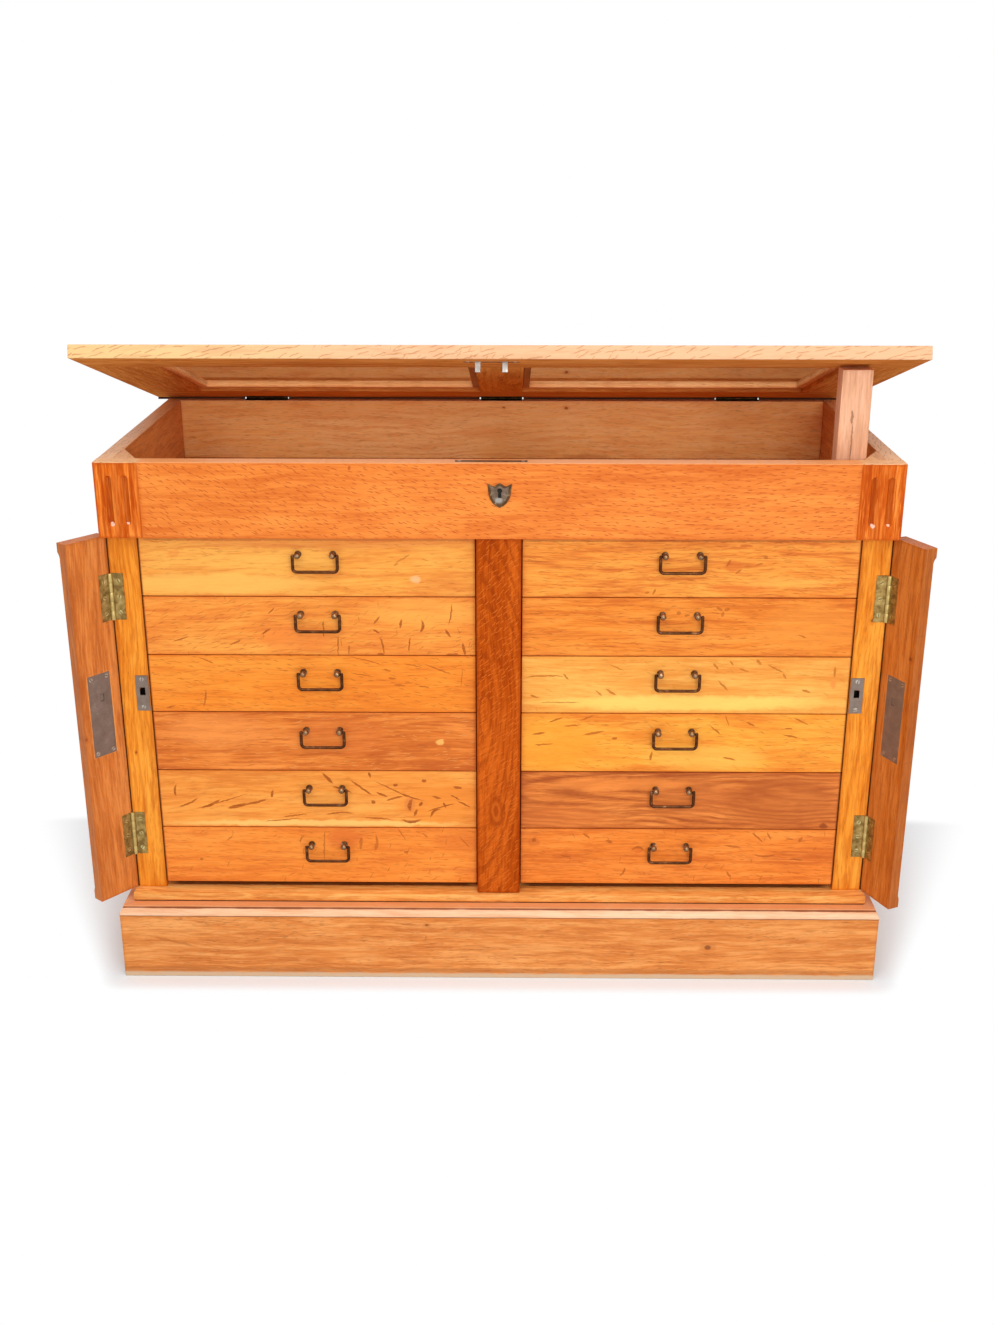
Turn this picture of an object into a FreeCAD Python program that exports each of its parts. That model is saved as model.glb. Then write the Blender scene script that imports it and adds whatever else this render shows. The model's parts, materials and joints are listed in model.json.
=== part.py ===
import math

import FreeCAD
import Part

# Overall sizes. X is left to right, the front faces -Y, Z is up from the floor.
CASE_WIDTH = 1220.0
CASE_DEPTH = 530.0
PLINTH_HEIGHT = 115.0
CARCASE_HEIGHT = 614.0
BOX_HEIGHT = 117.5
OVERHANG = 21.0

# Plinth, its moulding and the base board.
PLINTH_THICK = 22.0
MOULDING_HEIGHT = 17.0
MOULDING_LEDGE = 14.5
MOULDING_FILLET = 3.0
OVOLO_BULGE = 1.2
BASE_BOARD = 14.5
BASE_ROUND = 4.0
BEARER_WIDTH = 60.0

# Carcase, set in from the base board and from the display box.
CARCASE_INSET = 5.0
FRONT_INSET = 23.0
POST_WIDTH = 46.0
POST_DEPTH = 34.0
SIDE_THICK = 20.0
BACK_THICK = 12.0
PARTITION_THICK = 24.0
PILASTER_WIDTH = 70.0
PILASTER_PROUD = 15.5

# Drawers: two banks, the lower half of each bank a little taller than the upper half.
DRAWERS = 6
PITCH_STEP = 5.5
BOTTOM_GAP = 10.5
TOP_GAP = 2.0
FRONT_GAP = 1.5
FRONT_THICK = 20.0
DRAWER_WALL = 12.0
DRAWER_BOTTOM = 6.0
DRAWER_BACK_SPACE = 14.0
SIDE_DROP = 9.0
BACK_DROP = 6.0
RUNNER_HEIGHT = 9.0
GUIDE_HEIGHT = 14.0
GUIDE_GAP = 0.6
SLIDE_GAP = 0.3

# Drawer handles: a square bail of round rod hung between two ball studs.
STUD_SPACING = 54.0
STUD_BALL = 5.0
STUD_NECK = 3.0
STUD_COLLAR = 5.5
COLLAR_THICK = 1.5
STUD_STAND = 11.0
STUD_RISE = 20.5
BAIL_ROD = 2.2
BAIL_PIN = 1.5
BAIL_DROP = 26.0
BAIL_CORNER = 6.0
PIN_DEPTH = 4.0
PIN_PLAY = 0.05
ROD_PLAY = 0.3

# Locking pilaster flaps, hinged on the posts' outer edges.
FLAP_WIDTH = 73.0
FLAP_THICK = 22.0
FLAP_FIELD = 17.5
FLAP_FOOT = 20.0
CAP_HEIGHT = 15.0
COVE_HEIGHT = 13.0
COVE_SAG = 1.4
FOOT_HEIGHT = 14.0
FOOT_SLOPE = 8.0
FLAP_END_GAP = 2.0
FLAP_FACE_GAP = 1.0
FLAP_LEFT_DEGREES = 130.0
FLAP_RIGHT_DEGREES = 115.0
FLAP_FLUTE_END = 30.0

# Butt hinges of the flaps and of the lid.
HINGE_LENGTH = 76.0
HINGE_LEAF = 20.0
LEAF_THICK = 2.0
KNUCKLE = 4.2
HINGE_PIN = 2.0
KNUCKLES = 5
KNUCKLE_GAP = 0.3
HINGE_SET = 0.6
MORTISE_PLAY = 0.2
HINGE_FROM_END = 99.0
SCREW_HEAD = 3.4
SCREW_RISE = 0.3
SCREWS_PER_LEAF = 3
SCREW_INSET = 6.0

# Locks in the flaps, and the strike plates they meet on the posts.
LOCK_PLATE_WIDTH = 41.0
LOCK_PLATE_HEIGHT = 138.0
PLATE_THICK = 2.5
LOCK_OFFSET = 38.0
LOCK_RISE = 17.5
LOCK_CASE_INSET = 3.0
LOCK_CASE_HEIGHT = 100.0
LOCK_CASE_DEPTH = 9.0
BOLT_WIDTH = 6.5
BOLT_HEIGHT = 11.0
BOLT_LENGTH = 9.0
BOLT_PLAY = 0.4
BOLT_SUNK = 0.5
BOLT_OFFSET = 35.0
BOLT_RISE = 46.5
STRIKE_WIDTH = 20.5
STRIKE_HEIGHT = 60.0
STRIKE_DROP = 3.0
STRIKE_PLAY = 1.2
STRIKE_POCKET = 12.0

# Display box with its fluted corner blocks and corner gussets.
BOX_FRONT = 28.0
BOX_END = 25.0
BOX_BACK = 20.0
BOX_FLOOR = 12.0
BLOCK_WIDTH = 67.0
FLUTE_WIDTH = 11.0
FLUTE_DEPTH = 4.0
FLUTE_SPACING = 25.2
FLUTE_TOP = 20.0
FLUTE_FOOT = 20.0
GUSSET_FRONT = 34.0
GUSSET_SIDE = 68.0
GUSSET_THICK = 18.0

# Lid lock: escutcheon, selvedge and case in the front board, link plate on the lid.
ESCUTCHEON_X = 1.5
ESCUTCHEON_RISE = 10.0
ESCUTCHEON_WIDTH = 33.0
ESCUTCHEON_HEIGHT = 36.0
ESCUTCHEON_THICK = 2.0
KEYHOLE = 3.0
LOCK_X = -11.25
SELVEDGE_LENGTH = 109.0
SELVEDGE_WIDTH = 10.0
SELVEDGE_THICK = 2.0
SELVEDGE_SETBACK = 15.0
LID_CASE_WIDTH = 80.0
LID_CASE_DROP = 60.0
LID_CASE_THICK = 9.0
PRONG_SPACING = 40.5
PRONG_WIDTH = 8.0
PRONG_THICK = 3.0
PRONG_DROP = 15.0
PRONG_PLAY = 1.0
LINK_LENGTH = 84.0
LINK_WIDTH = 12.0

# Glazed lid and the plank that props it.
LID_THICK = 20.3
LID_FRAME = 102.0
LID_GAP = 1.0
LID_DEGREES = 16.0
CENTRE_BAR = 75.0
REBATE = 12.0
BEAD_HEIGHT = 6.0
BEAD_RISE = 6.0
GLASS_THICK = 3.0
GLASS_PLAY = 0.5
LID_HINGES = 3
LID_HINGE_PITCH = 430.0
LID_LEAF = 17.0
LID_HINGE_STAND = 0.6
PROP_WIDTH = 46.0
PROP_DEPTH = 32.0
PROP_FROM_END = 27.0
PROP_SETBACK = 44.0
PROP_GAP = 0.3

# Levels and planes that follow from the sizes above.
HALF = CASE_WIDTH / 2
FRONT = -CASE_DEPTH / 2
REAR = CASE_DEPTH / 2
BASE_Z = PLINTH_HEIGHT + MOULDING_HEIGHT
CARCASE_Z = BASE_Z + BASE_BOARD
BOX_Z = CARCASE_Z + CARCASE_HEIGHT
RIM_Z = BOX_Z + BOX_HEIGHT
FLOOR_Z = BOX_Z + BOX_FLOOR
POST_Y = FRONT + FRONT_INSET
POST_BACK = POST_Y + POST_DEPTH
POST_X = HALF - CARCASE_INSET
POST_INNER = POST_X - POST_WIDTH
SIDE_INNER = POST_X - SIDE_THICK
PILASTER = PILASTER_WIDTH / 2
AXIS_X = POST_X + HINGE_SET
AXIS_Y = POST_Y - FLAP_FACE_GAP / 2
FACE = FLAP_FACE_GAP / 2
FLAP_Z = CARCASE_Z + FLAP_END_GAP
FLAP_TOP = BOX_Z - FLAP_END_GAP
MID_Z = (FLAP_Z + FLAP_TOP) / 2
HINGE_LEVELS = (FLAP_Z + HINGE_FROM_END, FLAP_TOP - HINGE_FROM_END)
BOLT_Z = MID_Z + BOLT_RISE
LOCK_Z = MID_Z + LOCK_RISE
BOX_INNER = HALF - BOX_END
BLOCK_INNER = HALF - BLOCK_WIDTH
LID_AXIS_Y = REAR + KNUCKLE + LID_HINGE_STAND
LID_FACE = LID_GAP / 2
LID_AXIS_Z = RIM_Z + LID_FACE
LID_Z = RIM_Z + LID_GAP
LID_TOP = LID_Z + LID_THICK
LID_FRONT = FRONT - OVERHANG
LID_HALF = HALF + OVERHANG
LOCK_Y = FRONT + SELVEDGE_SETBACK
FLUTE_RADIUS = (FLUTE_WIDTH ** 2 / 4 + FLUTE_DEPTH ** 2) / (2 * FLUTE_DEPTH)

ORIGIN = FreeCAD.Vector(0, 0, 0)
UP = FreeCAD.Vector(0, 0, 1)
RIGHT = FreeCAD.Vector(1, 0, 0)
BACK = FreeCAD.Vector(0, 1, 0)


def point(x, y, z):
    return FreeCAD.Vector(x, y, z)


def block(x0, x1, y0, y1, z0, z1):
    return Part.makeBox(x1 - x0, y1 - y0, z1 - z0, point(x0, y0, z0))


def rod(radius, start, direction, length):
    return Part.makeCylinder(radius, length, start, direction)


def mirrored(shape):
    return shape.mirror(ORIGIN, RIGHT)


def prism(points, direction):
    outline = Part.makePolygon(points + [points[0]])
    return Part.Face(outline).extrude(direction)


def moved(shape, place):
    copy = shape.copy()
    copy.translate(place)
    return copy


def turned(shape, centre, axis, degrees):
    copy = shape.copy()
    copy.rotate(centre, axis, degrees)
    return copy


def joined(shape, extras):
    for extra in extras:
        shape = shape.fuse(extra)
    return shape.removeSplitter()


def without(shape, rooms):
    for room in rooms:
        shape = shape.cut(room)
    return shape


def save(name, shapes):
    solids = [solid for shape in shapes for solid in shape.Solids]
    shape = solids[0] if len(solids) == 1 else Part.makeCompound(solids)
    shape.exportStep("parts/" + name + ".step")


# Plinth: front board, two returns, a back board and a centre bearer down to the floor.
plinth_return_y = LID_FRONT + PLINTH_THICK
plinth_back_y = REAR - PLINTH_THICK
plinth_inner = LID_HALF - PLINTH_THICK
bearer = BEARER_WIDTH / 2
plinth_front = block(-LID_HALF, LID_HALF, LID_FRONT, plinth_return_y, 0, PLINTH_HEIGHT)
plinth_return = block(plinth_inner, LID_HALF, plinth_return_y, REAR, 0, PLINTH_HEIGHT)
plinth_back = block(-plinth_inner, plinth_inner, plinth_back_y, REAR, 0, BASE_Z)
plinth_bearer = block(-bearer, bearer, plinth_return_y, plinth_back_y, 0, BASE_Z)
save("plinth_front", [plinth_front])
save("plinth_returns", [mirrored(plinth_return), plinth_return])
save("plinth_frame", [plinth_back, plinth_bearer])


# Base moulding: a ledge, a fillet and an ovolo down to the plinth's top edge. The section
# is placed by a function of how far out it stands and how high, and mitred at the corners.
def moulding_section(place):
    inner = OVERHANG - PLINTH_THICK
    fillet_z = BASE_Z - MOULDING_FILLET
    bulge_out = (MOULDING_LEDGE + OVERHANG) / 2 + OVOLO_BULGE
    bulge_z = (fillet_z + PLINTH_HEIGHT) / 2 + OVOLO_BULGE
    foot = place(OVERHANG, PLINTH_HEIGHT)
    fillet = place(MOULDING_LEDGE, fillet_z)
    corners = [fillet, place(MOULDING_LEDGE, BASE_Z), place(inner, BASE_Z)]
    corners += [place(inner, PLINTH_HEIGHT), foot]
    ovolo = Part.Arc(foot, place(bulge_out, bulge_z), fillet).toShape()
    edges = [Part.makeLine(a, b) for a, b in zip(corners, corners[1:])]
    return Part.Face(Part.Wire(edges + [ovolo]))


def front_place(out, z):
    return point(-LID_HALF, FRONT - out, z)


def return_place(out, z):
    return point(HALF + out, LID_FRONT, z)


def mitre(side):
    reach = 2 * OVERHANG
    outer = point(side * (HALF + reach), FRONT - reach, 0)
    inner = point(side * (HALF - reach), FRONT + reach, 0)
    beside = point(side * (HALF + reach), FRONT + reach, 0)
    return prism([outer, inner, beside], UP * RIM_Z)


front_moulding = moulding_section(front_place).extrude(RIGHT * (2 * LID_HALF))
front_moulding = without(front_moulding, [mitre(-1), mitre(1)])
return_moulding = moulding_section(return_place).extrude(BACK * (REAR - LID_FRONT))
behind_mitre = block(0, 2 * HALF, FRONT + OVERHANG, REAR, 0, RIM_Z)
return_moulding = return_moulding.common(joined(mitre(1), [behind_mitre]))
save("base_moulding", [mirrored(return_moulding), front_moulding, return_moulding])

# Base board with a rounded front edge.
base_board = block(-HALF, HALF, FRONT, REAR, BASE_Z, CARCASE_Z)
long_edges = [edge for edge in base_board.Edges if edge.BoundBox.XLength > HALF]
front_edges = [edge for edge in long_edges if edge.BoundBox.YMax < 0]
save("base_board", [base_board.makeFillet(BASE_ROUND, front_edges)])


# Screw heads standing slightly out of a plate, along the direction its face looks.
def screw_heads(places, direction):
    sunk = direction * -SCREW_RISE
    return [rod(SCREW_HEAD, place + sunk, direction, 2 * SCREW_RISE) for place in places]


# Butt hinges are drawn about the Z axis, with both leaves reaching out along +X and their
# faces one gap apart on either side of the XZ plane. Side 1 is let into the fixed wood,
# side -1 into the moving wood.
def hinge_leaf(leaf, gap, side, centre):
    low = centre - HINGE_LENGTH / 2
    near, far = sorted((side * gap, side * (gap + LEAF_THICK)))
    room = rod(KNUCKLE + KNUCKLE_GAP, point(0, 0, low - 1), UP, HINGE_LENGTH + 2)
    plate = block(0, leaf, near, far, low, low + HINGE_LENGTH).cut(room)
    pitch = HINGE_LENGTH / KNUCKLES
    solid_height = pitch - KNUCKLE_GAP
    for index in range(0 if side > 0 else 1, KNUCKLES, 2):
        level = low + index * pitch + KNUCKLE_GAP / 2
        knuckle = rod(KNUCKLE, point(0, 0, level), UP, solid_height)
        web = block(0, KNUCKLE + 1, near, far, level, level + solid_height)
        plate = joined(plate, [knuckle, web])
    bore = rod(HINGE_PIN + PIN_PLAY, point(0, 0, low - 1), UP, HINGE_LENGTH + 2)
    row = KNUCKLE + (leaf - KNUCKLE) / 2
    step = (HINGE_LENGTH - 4 * SCREW_INSET) / (SCREWS_PER_LEAF - 1)
    levels = [low + 2 * SCREW_INSET + step * index for index in range(SCREWS_PER_LEAF)]
    heads = screw_heads([point(row, side * gap, level) for level in levels], BACK * -side)
    return joined(plate.cut(bore), heads)


def hinge_pin(centre):
    return rod(HINGE_PIN, point(0, 0, centre - HINGE_LENGTH / 2), UP, HINGE_LENGTH)


# Room for one leaf and for the knuckles: a shallow mortise and a round clearance.
def hinge_room(leaf, gap, side, centre):
    low = centre - HINGE_LENGTH / 2 - MORTISE_PLAY
    height = HINGE_LENGTH + 2 * MORTISE_PLAY
    near, far = sorted((0, side * (gap + LEAF_THICK)))
    mortise = block(-leaf, leaf + MORTISE_PLAY, near, far, low, low + height)
    clearance = rod(KNUCKLE + 2 * KNUCKLE_GAP, point(0, 0, low), UP, height)
    return joined(mortise, [clearance])


# Two flutes of a pilaster, cut into the face at the given depth and stopped at both ends.
def flutes(centre_x, face_y, low, high):
    centre_y = face_y + FLUTE_DEPTH - FLUTE_RADIUS
    cuts = []
    for side in (-1, 1):
        x = centre_x + side * FLUTE_SPACING / 2
        foot = point(x, centre_y, low + FLUTE_WIDTH / 2)
        top = point(x, centre_y, high - FLUTE_WIDTH / 2)
        cuts.append(rod(FLUTE_RADIUS, foot, UP, top.z - foot.z))
        cuts.append(Part.makeSphere(FLUTE_RADIUS, foot))
        cuts.append(Part.makeSphere(FLUTE_RADIUS, top))
    return cuts


def lock_bolt(play, length, front):
    wide = BOLT_WIDTH / 2 + play
    high = BOLT_HEIGHT / 2 + play
    x0 = BOLT_OFFSET - wide
    x1 = BOLT_OFFSET + wide
    return block(x0, x1, front - length, front, BOLT_Z - high, BOLT_Z + high)


# The left flap is drawn closed, about its hinge line as the Z axis, with the cabinet
# behind it and to its +X side. The right flap is its mirror image.
flap_near = HINGE_SET
flap_far = HINGE_SET + FLAP_WIDTH
cap_z = FLAP_TOP - CAP_HEIGHT
cove_z = cap_z - COVE_HEIGHT
foot_z = FLAP_Z + FOOT_HEIGHT
slope_z = foot_z + FOOT_SLOPE
field_y = -FACE - FLAP_FIELD
cap_y = -FACE - FLAP_THICK
foot_y = -FACE - FLAP_FOOT
cove_y = (field_y + cap_y) / 2 + COVE_SAG
cap_edge = point(flap_near, cap_y, cap_z)
field_edge = point(flap_near, field_y, cove_z)
cove = Part.Arc(cap_edge, point(flap_near, cove_y, (cap_z + cove_z) / 2 + COVE_SAG), field_edge)
outline = [(field_y, cove_z), (field_y, slope_z), (foot_y, foot_z), (foot_y, FLAP_Z)]
outline += [(-FACE, FLAP_Z), (-FACE, FLAP_TOP), (cap_y, FLAP_TOP), (cap_y, cap_z)]
corners = [point(flap_near, y, z) for y, z in outline]
edges = [Part.makeLine(a, b) for a, b in zip(corners, corners[1:])]
flap = Part.Face(Part.Wire(edges + [cove.toShape()])).extrude(RIGHT * FLAP_WIDTH)
flap_centre = (flap_near + flap_far) / 2
flute_low = slope_z + FLAP_FLUTE_END
flute_high = cove_z - FLAP_FLUTE_END
flap = without(flap, flutes(flap_centre, field_y, flute_low, flute_high))
flap = without(flap, [hinge_room(HINGE_LEAF, FACE, -1, level) for level in HINGE_LEVELS])

# Lock plate with its case and the bolt's channel. The bolt slides out to the strike.
plate_half = LOCK_PLATE_WIDTH / 2
plate_y = -FACE - PLATE_THICK
plate_x0 = LOCK_OFFSET - plate_half
plate_x1 = LOCK_OFFSET + plate_half
plate_z0 = LOCK_Z - LOCK_PLATE_HEIGHT / 2
plate_z1 = LOCK_Z + LOCK_PLATE_HEIGHT / 2
case_half = plate_half - LOCK_CASE_INSET
case_z0 = LOCK_Z - LOCK_CASE_HEIGHT / 2
case_z1 = LOCK_Z + LOCK_CASE_HEIGHT / 2
case_y = plate_y - LOCK_CASE_DEPTH
plate = block(plate_x0, plate_x1, plate_y, -FACE, plate_z0, plate_z1)
case = block(LOCK_OFFSET - case_half, LOCK_OFFSET + case_half, case_y, plate_y, case_z0, case_z1)
plate_screws = [
    point(LOCK_OFFSET + side * (plate_half - SCREW_INSET), -FACE, level)
    for side in (-1, 1)
    for level in (plate_z0 + SCREW_INSET, plate_z1 - SCREW_INSET)
]
bolt_front = -FACE - BOLT_SUNK
channel = lock_bolt(BOLT_PLAY, BOLT_LENGTH + 2 * BOLT_SUNK + BOLT_PLAY, 0)
flap_lock = joined(plate, [case] + screw_heads(plate_screws, BACK)).cut(channel)
flap_bolt = lock_bolt(0, BOLT_LENGTH, bolt_front)
plate_room = block(
    plate_x0 - MORTISE_PLAY,
    plate_x1 + MORTISE_PLAY,
    plate_y,
    0,
    plate_z0 - MORTISE_PLAY,
    plate_z1 + MORTISE_PLAY,
)
case_room = block(
    LOCK_OFFSET - case_half - MORTISE_PLAY,
    LOCK_OFFSET + case_half + MORTISE_PLAY,
    case_y - MORTISE_PLAY,
    0,
    case_z0 - MORTISE_PLAY,
    case_z1 + MORTISE_PLAY,
)
flap = without(flap, [plate_room, case_room])

# Strike plate on the post, with a hole for the bolt.
strike_half = STRIKE_WIDTH / 2
strike_z0 = BOLT_Z - STRIKE_DROP - STRIKE_HEIGHT / 2
strike_z1 = strike_z0 + STRIKE_HEIGHT
strike_x0 = BOLT_OFFSET - strike_half
strike_x1 = BOLT_OFFSET + strike_half
strike = block(strike_x0, strike_x1, FACE, FACE + PLATE_THICK, strike_z0, strike_z1)
strike_levels = (strike_z0 + SCREW_INSET, strike_z1 - SCREW_INSET)
strike_screws = [point(BOLT_OFFSET, FACE, level) for level in strike_levels]
strike_hole = lock_bolt(STRIKE_PLAY, STRIKE_POCKET, FACE + STRIKE_POCKET)
strike = joined(strike, screw_heads(strike_screws, BACK * -1)).cut(strike_hole)
strike_room = block(
    strike_x0 - MORTISE_PLAY,
    strike_x1 + MORTISE_PLAY,
    0,
    FACE + PLATE_THICK,
    strike_z0 - MORTISE_PLAY,
    strike_z1 + MORTISE_PLAY,
)

# Fixed leaves and pins, and the front post with its mortises, in the same frame.
flap_leaf = [hinge_leaf(HINGE_LEAF, FACE, -1, level) for level in HINGE_LEVELS]
post_leaf = [hinge_leaf(HINGE_LEAF, FACE, 1, level) for level in HINGE_LEVELS]
pins = [hinge_pin(level) for level in HINGE_LEVELS]
post = block(HINGE_SET, HINGE_SET + POST_WIDTH, FACE, FACE + POST_DEPTH, CARCASE_Z, BOX_Z)
post = without(post, [hinge_room(HINGE_LEAF, FACE, 1, level) for level in HINGE_LEVELS])
post = without(post, [strike_room, strike_hole])

# Everything on the hinge line goes to the left side, and its mirror image to the right.
left_line = point(-AXIS_X, AXIS_Y, 0)
right_line = point(AXIS_X, AXIS_Y, 0)


def both_sides(shapes):
    left = [moved(shape, left_line) for shape in shapes]
    return left, [mirrored(shape) for shape in left]


def save_fixed(name, shapes):
    left, right = both_sides(shapes)
    save(name, left + right)


def save_opened(name, shapes):
    left, right = both_sides(shapes)
    save(name + "_left", [turned(shape, left_line, UP, -FLAP_LEFT_DEGREES) for shape in left])
    save(name + "_right", [turned(shape, right_line, UP, FLAP_RIGHT_DEGREES) for shape in right])


save_fixed("front_posts", [post])
save_fixed("post_hinge_leaves", post_leaf + pins)
save_fixed("strike_plates", [strike])
save_opened("flap", [flap])
save_opened("flap_hinge_leaves", flap_leaf)
save_opened("flap_lock", [flap_lock])
save_opened("flap_bolt", [flap_bolt])

# Case sides and back, the centre partition, and the pilaster proud of the drawers.
back_y = REAR - BACK_THICK
front_back = POST_Y + FRONT_THICK
half_partition = PARTITION_THICK / 2
case_side = block(SIDE_INNER, POST_X, POST_BACK, REAR, CARCASE_Z, BOX_Z)
case_back = block(-SIDE_INNER, SIDE_INNER, back_y, REAR, CARCASE_Z, BOX_Z)
partition = block(-half_partition, half_partition, front_back, back_y, CARCASE_Z, BOX_Z)
pilaster = block(-PILASTER, PILASTER, POST_Y - PILASTER_PROUD, front_back, CARCASE_Z, BOX_Z)
save("case_sides", [mirrored(case_side), case_side])
save("case_back", [case_back])
save("centre_partition", [partition])
save("centre_pilaster", [pilaster])


# A ball stud that stands out from a drawer front, with the bail's pin hole on one side.
def stud(x, z, side):
    ball = Part.makeSphere(STUD_BALL, point(x, POST_Y - STUD_STAND, z))
    neck = rod(STUD_NECK, point(x, POST_Y, z), BACK * -1, STUD_STAND)
    collar = rod(STUD_COLLAR, point(x, POST_Y, z), BACK * -1, COLLAR_THICK)
    hole_start = point(x + side * (STUD_BALL - PIN_DEPTH - ROD_PLAY), POST_Y - STUD_STAND, z)
    hole = rod(BAIL_PIN + PIN_PLAY, hole_start, RIGHT * side, 2 * STUD_BALL)
    return joined(ball, [neck, collar]).cut(hole)


# The bail: a rod bent into a square U, with a thinner pin turned in at each end.
def bail(x, z):
    y = POST_Y - STUD_STAND
    leg = STUD_SPACING / 2 + STUD_BALL + ROD_PLAY + BAIL_ROD
    low = z - BAIL_DROP
    sag = BAIL_CORNER * (1 - 0.5 ** 0.5)
    ends = [point(x + side * leg, y, z) for side in (-1, 1)]
    turns = [point(x + side * leg, y, low + BAIL_CORNER) for side in (-1, 1)]
    middles = [point(x + side * (leg - sag), y, low + sag) for side in (-1, 1)]
    flats = [point(x + side * (leg - BAIL_CORNER), y, low) for side in (-1, 1)]
    path = Part.Wire(
        [
            Part.makeLine(ends[0], turns[0]),
            Part.Arc(turns[0], middles[0], flats[0]).toShape(),
            Part.makeLine(flats[0], flats[1]),
            Part.Arc(flats[1], middles[1], turns[1]).toShape(),
            Part.makeLine(turns[1], ends[1]),
        ]
    )
    section = Part.Wire(Part.makeCircle(BAIL_ROD, ends[0], UP))
    shape = path.makePipeShell([section], True, False)
    pin_length = PIN_DEPTH + ROD_PLAY + BAIL_ROD
    for end, inward in zip(ends, (RIGHT, RIGHT * -1)):
        shape = joined(shape, [Part.makeSphere(BAIL_ROD, end), rod(BAIL_PIN, end, inward, pin_length)])
    return shape


# Drawers, handles and runners, bank by bank from the bottom up.
span = CARCASE_HEIGHT - BOTTOM_GAP - TOP_GAP
runners = []
for bank, side in (("left", -1), ("right", 1)):
    x0, x1 = sorted((side * (PILASTER + FRONT_GAP), side * (POST_INNER - FRONT_GAP)))
    handle_x = side * (PILASTER + AXIS_X - flap_far) / 2
    low = CARCASE_Z + BOTTOM_GAP
    for number in range(DRAWERS):
        pitch = span / DRAWERS + (PITCH_STEP / 2 if number < DRAWERS / 2 else -PITCH_STEP / 2)
        high = low + pitch - FRONT_GAP
        side_low = low + RUNNER_HEIGHT + SLIDE_GAP
        side_high = high - SIDE_DROP
        end_y = back_y - DRAWER_BACK_SPACE
        inner0 = x0 + DRAWER_WALL
        inner1 = x1 - DRAWER_WALL
        base_high = side_low + DRAWER_BOTTOM
        back_wall_y = end_y - DRAWER_WALL
        drawer = [
            block(x0, x1, POST_Y, front_back, low, high),
            block(x0, inner0, front_back, end_y, side_low, side_high),
            block(inner1, x1, front_back, end_y, side_low, side_high),
            block(inner0, inner1, back_wall_y, end_y, base_high, side_high - BACK_DROP),
            block(inner0, inner1, front_back, end_y, side_low, base_high),
        ]
        stud_z = (low + high) / 2 + STUD_RISE
        drawer += [stud(handle_x + s * STUD_SPACING / 2, stud_z, s) for s in (-1, 1)]
        label = bank + "_" + str(DRAWERS - number)
        save("drawer_" + label, drawer)
        save("bail_" + label, [bail(handle_x, stud_z)])
        for fixed, reach, edge in ((SIDE_INNER, -1, POST_INNER), (half_partition, 1, PILASTER)):
            drawer_face = edge + reach * FRONT_GAP
            strips = []
            for depth, z0, z1 in (
                (DRAWER_WALL, low, low + RUNNER_HEIGHT),
                (-GUIDE_GAP, low + RUNNER_HEIGHT, low + RUNNER_HEIGHT + GUIDE_HEIGHT),
            ):
                ends = sorted((side * fixed, side * (drawer_face + reach * depth)))
                strips.append(block(ends[0], ends[1], POST_BACK, back_y, z0, z1))
            runners.append(joined(strips[0], strips[1:]))
        low += pitch
save("drawer_runners", runners)

# Display box: floor, ends, back, and a front board between two fluted corner blocks.
front_in = FRONT + BOX_FRONT
back_in = REAR - BOX_BACK
box_floor = block(-BOX_INNER, BOX_INNER, front_in, back_in, BOX_Z, FLOOR_Z)
box_end = block(BOX_INNER, HALF, front_in, REAR, BOX_Z, RIM_Z)
box_back = block(-BOX_INNER, BOX_INNER, back_in, REAR, BOX_Z, RIM_Z)
corner_block = block(BLOCK_INNER, HALF, FRONT, front_in, BOX_Z, RIM_Z)
block_flutes = flutes((BLOCK_INNER + HALF) / 2, FRONT, BOX_Z + FLUTE_FOOT, RIM_Z - FLUTE_TOP)
corner_block = without(corner_block, block_flutes)
gusset_corner = point(BOX_INNER, front_in, RIM_Z - GUSSET_THICK)
gusset_points = [gusset_corner, gusset_corner - RIGHT * GUSSET_FRONT, gusset_corner + BACK * GUSSET_SIDE]
gusset = prism(gusset_points, UP * GUSSET_THICK)
save("box_floor", [box_floor])
save("box_ends", [mirrored(box_end), box_end])
save("corner_blocks", [mirrored(corner_block), corner_block])
save("corner_gussets", [mirrored(gusset), gusset])

# Lid lock: the selvedge lies flush in the rim, the case hangs below it in the front board.
selvedge_half = SELVEDGE_LENGTH / 2
selvedge_low = RIM_Z - SELVEDGE_THICK
case_low = selvedge_low - LID_CASE_DROP
case_deep = LID_CASE_THICK / 2
case_wide = LID_CASE_WIDTH / 2
escutcheon_z = (BOX_Z + RIM_Z) / 2 + ESCUTCHEON_RISE


def lock_block(half_x, half_y, z0, z1, play):
    x0 = LOCK_X - half_x - play
    x1 = LOCK_X + half_x + play
    return block(x0, x1, LOCK_Y - half_y - play, LOCK_Y + half_y + play, z0 - play, z1)


selvedge = lock_block(selvedge_half, SELVEDGE_WIDTH / 2, selvedge_low, RIM_Z, 0)
selvedge_room = lock_block(selvedge_half, SELVEDGE_WIDTH / 2 + MORTISE_PLAY, selvedge_low, RIM_Z, 0)
lock_case = lock_block(case_wide, case_deep, case_low, selvedge_low, 0)
lock_room = lock_block(case_wide, case_deep, case_low, selvedge_low, MORTISE_PLAY)
prong_slots = []
for side in (-1, 1):
    prong_x = LOCK_X + side * PRONG_SPACING / 2
    wide = PRONG_WIDTH / 2 + PRONG_PLAY
    deep = PRONG_THICK / 2 + PRONG_PLAY
    low = LID_Z - PRONG_DROP - 2 * PRONG_PLAY
    prong_slots.append(block(prong_x - wide, prong_x + wide, LOCK_Y - deep, LOCK_Y + deep, low, RIM_Z))
key_way = rod(KEYHOLE, point(ESCUTCHEON_X, FRONT - ESCUTCHEON_THICK - 1, escutcheon_z), BACK, LOCK_Y - FRONT)
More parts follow.
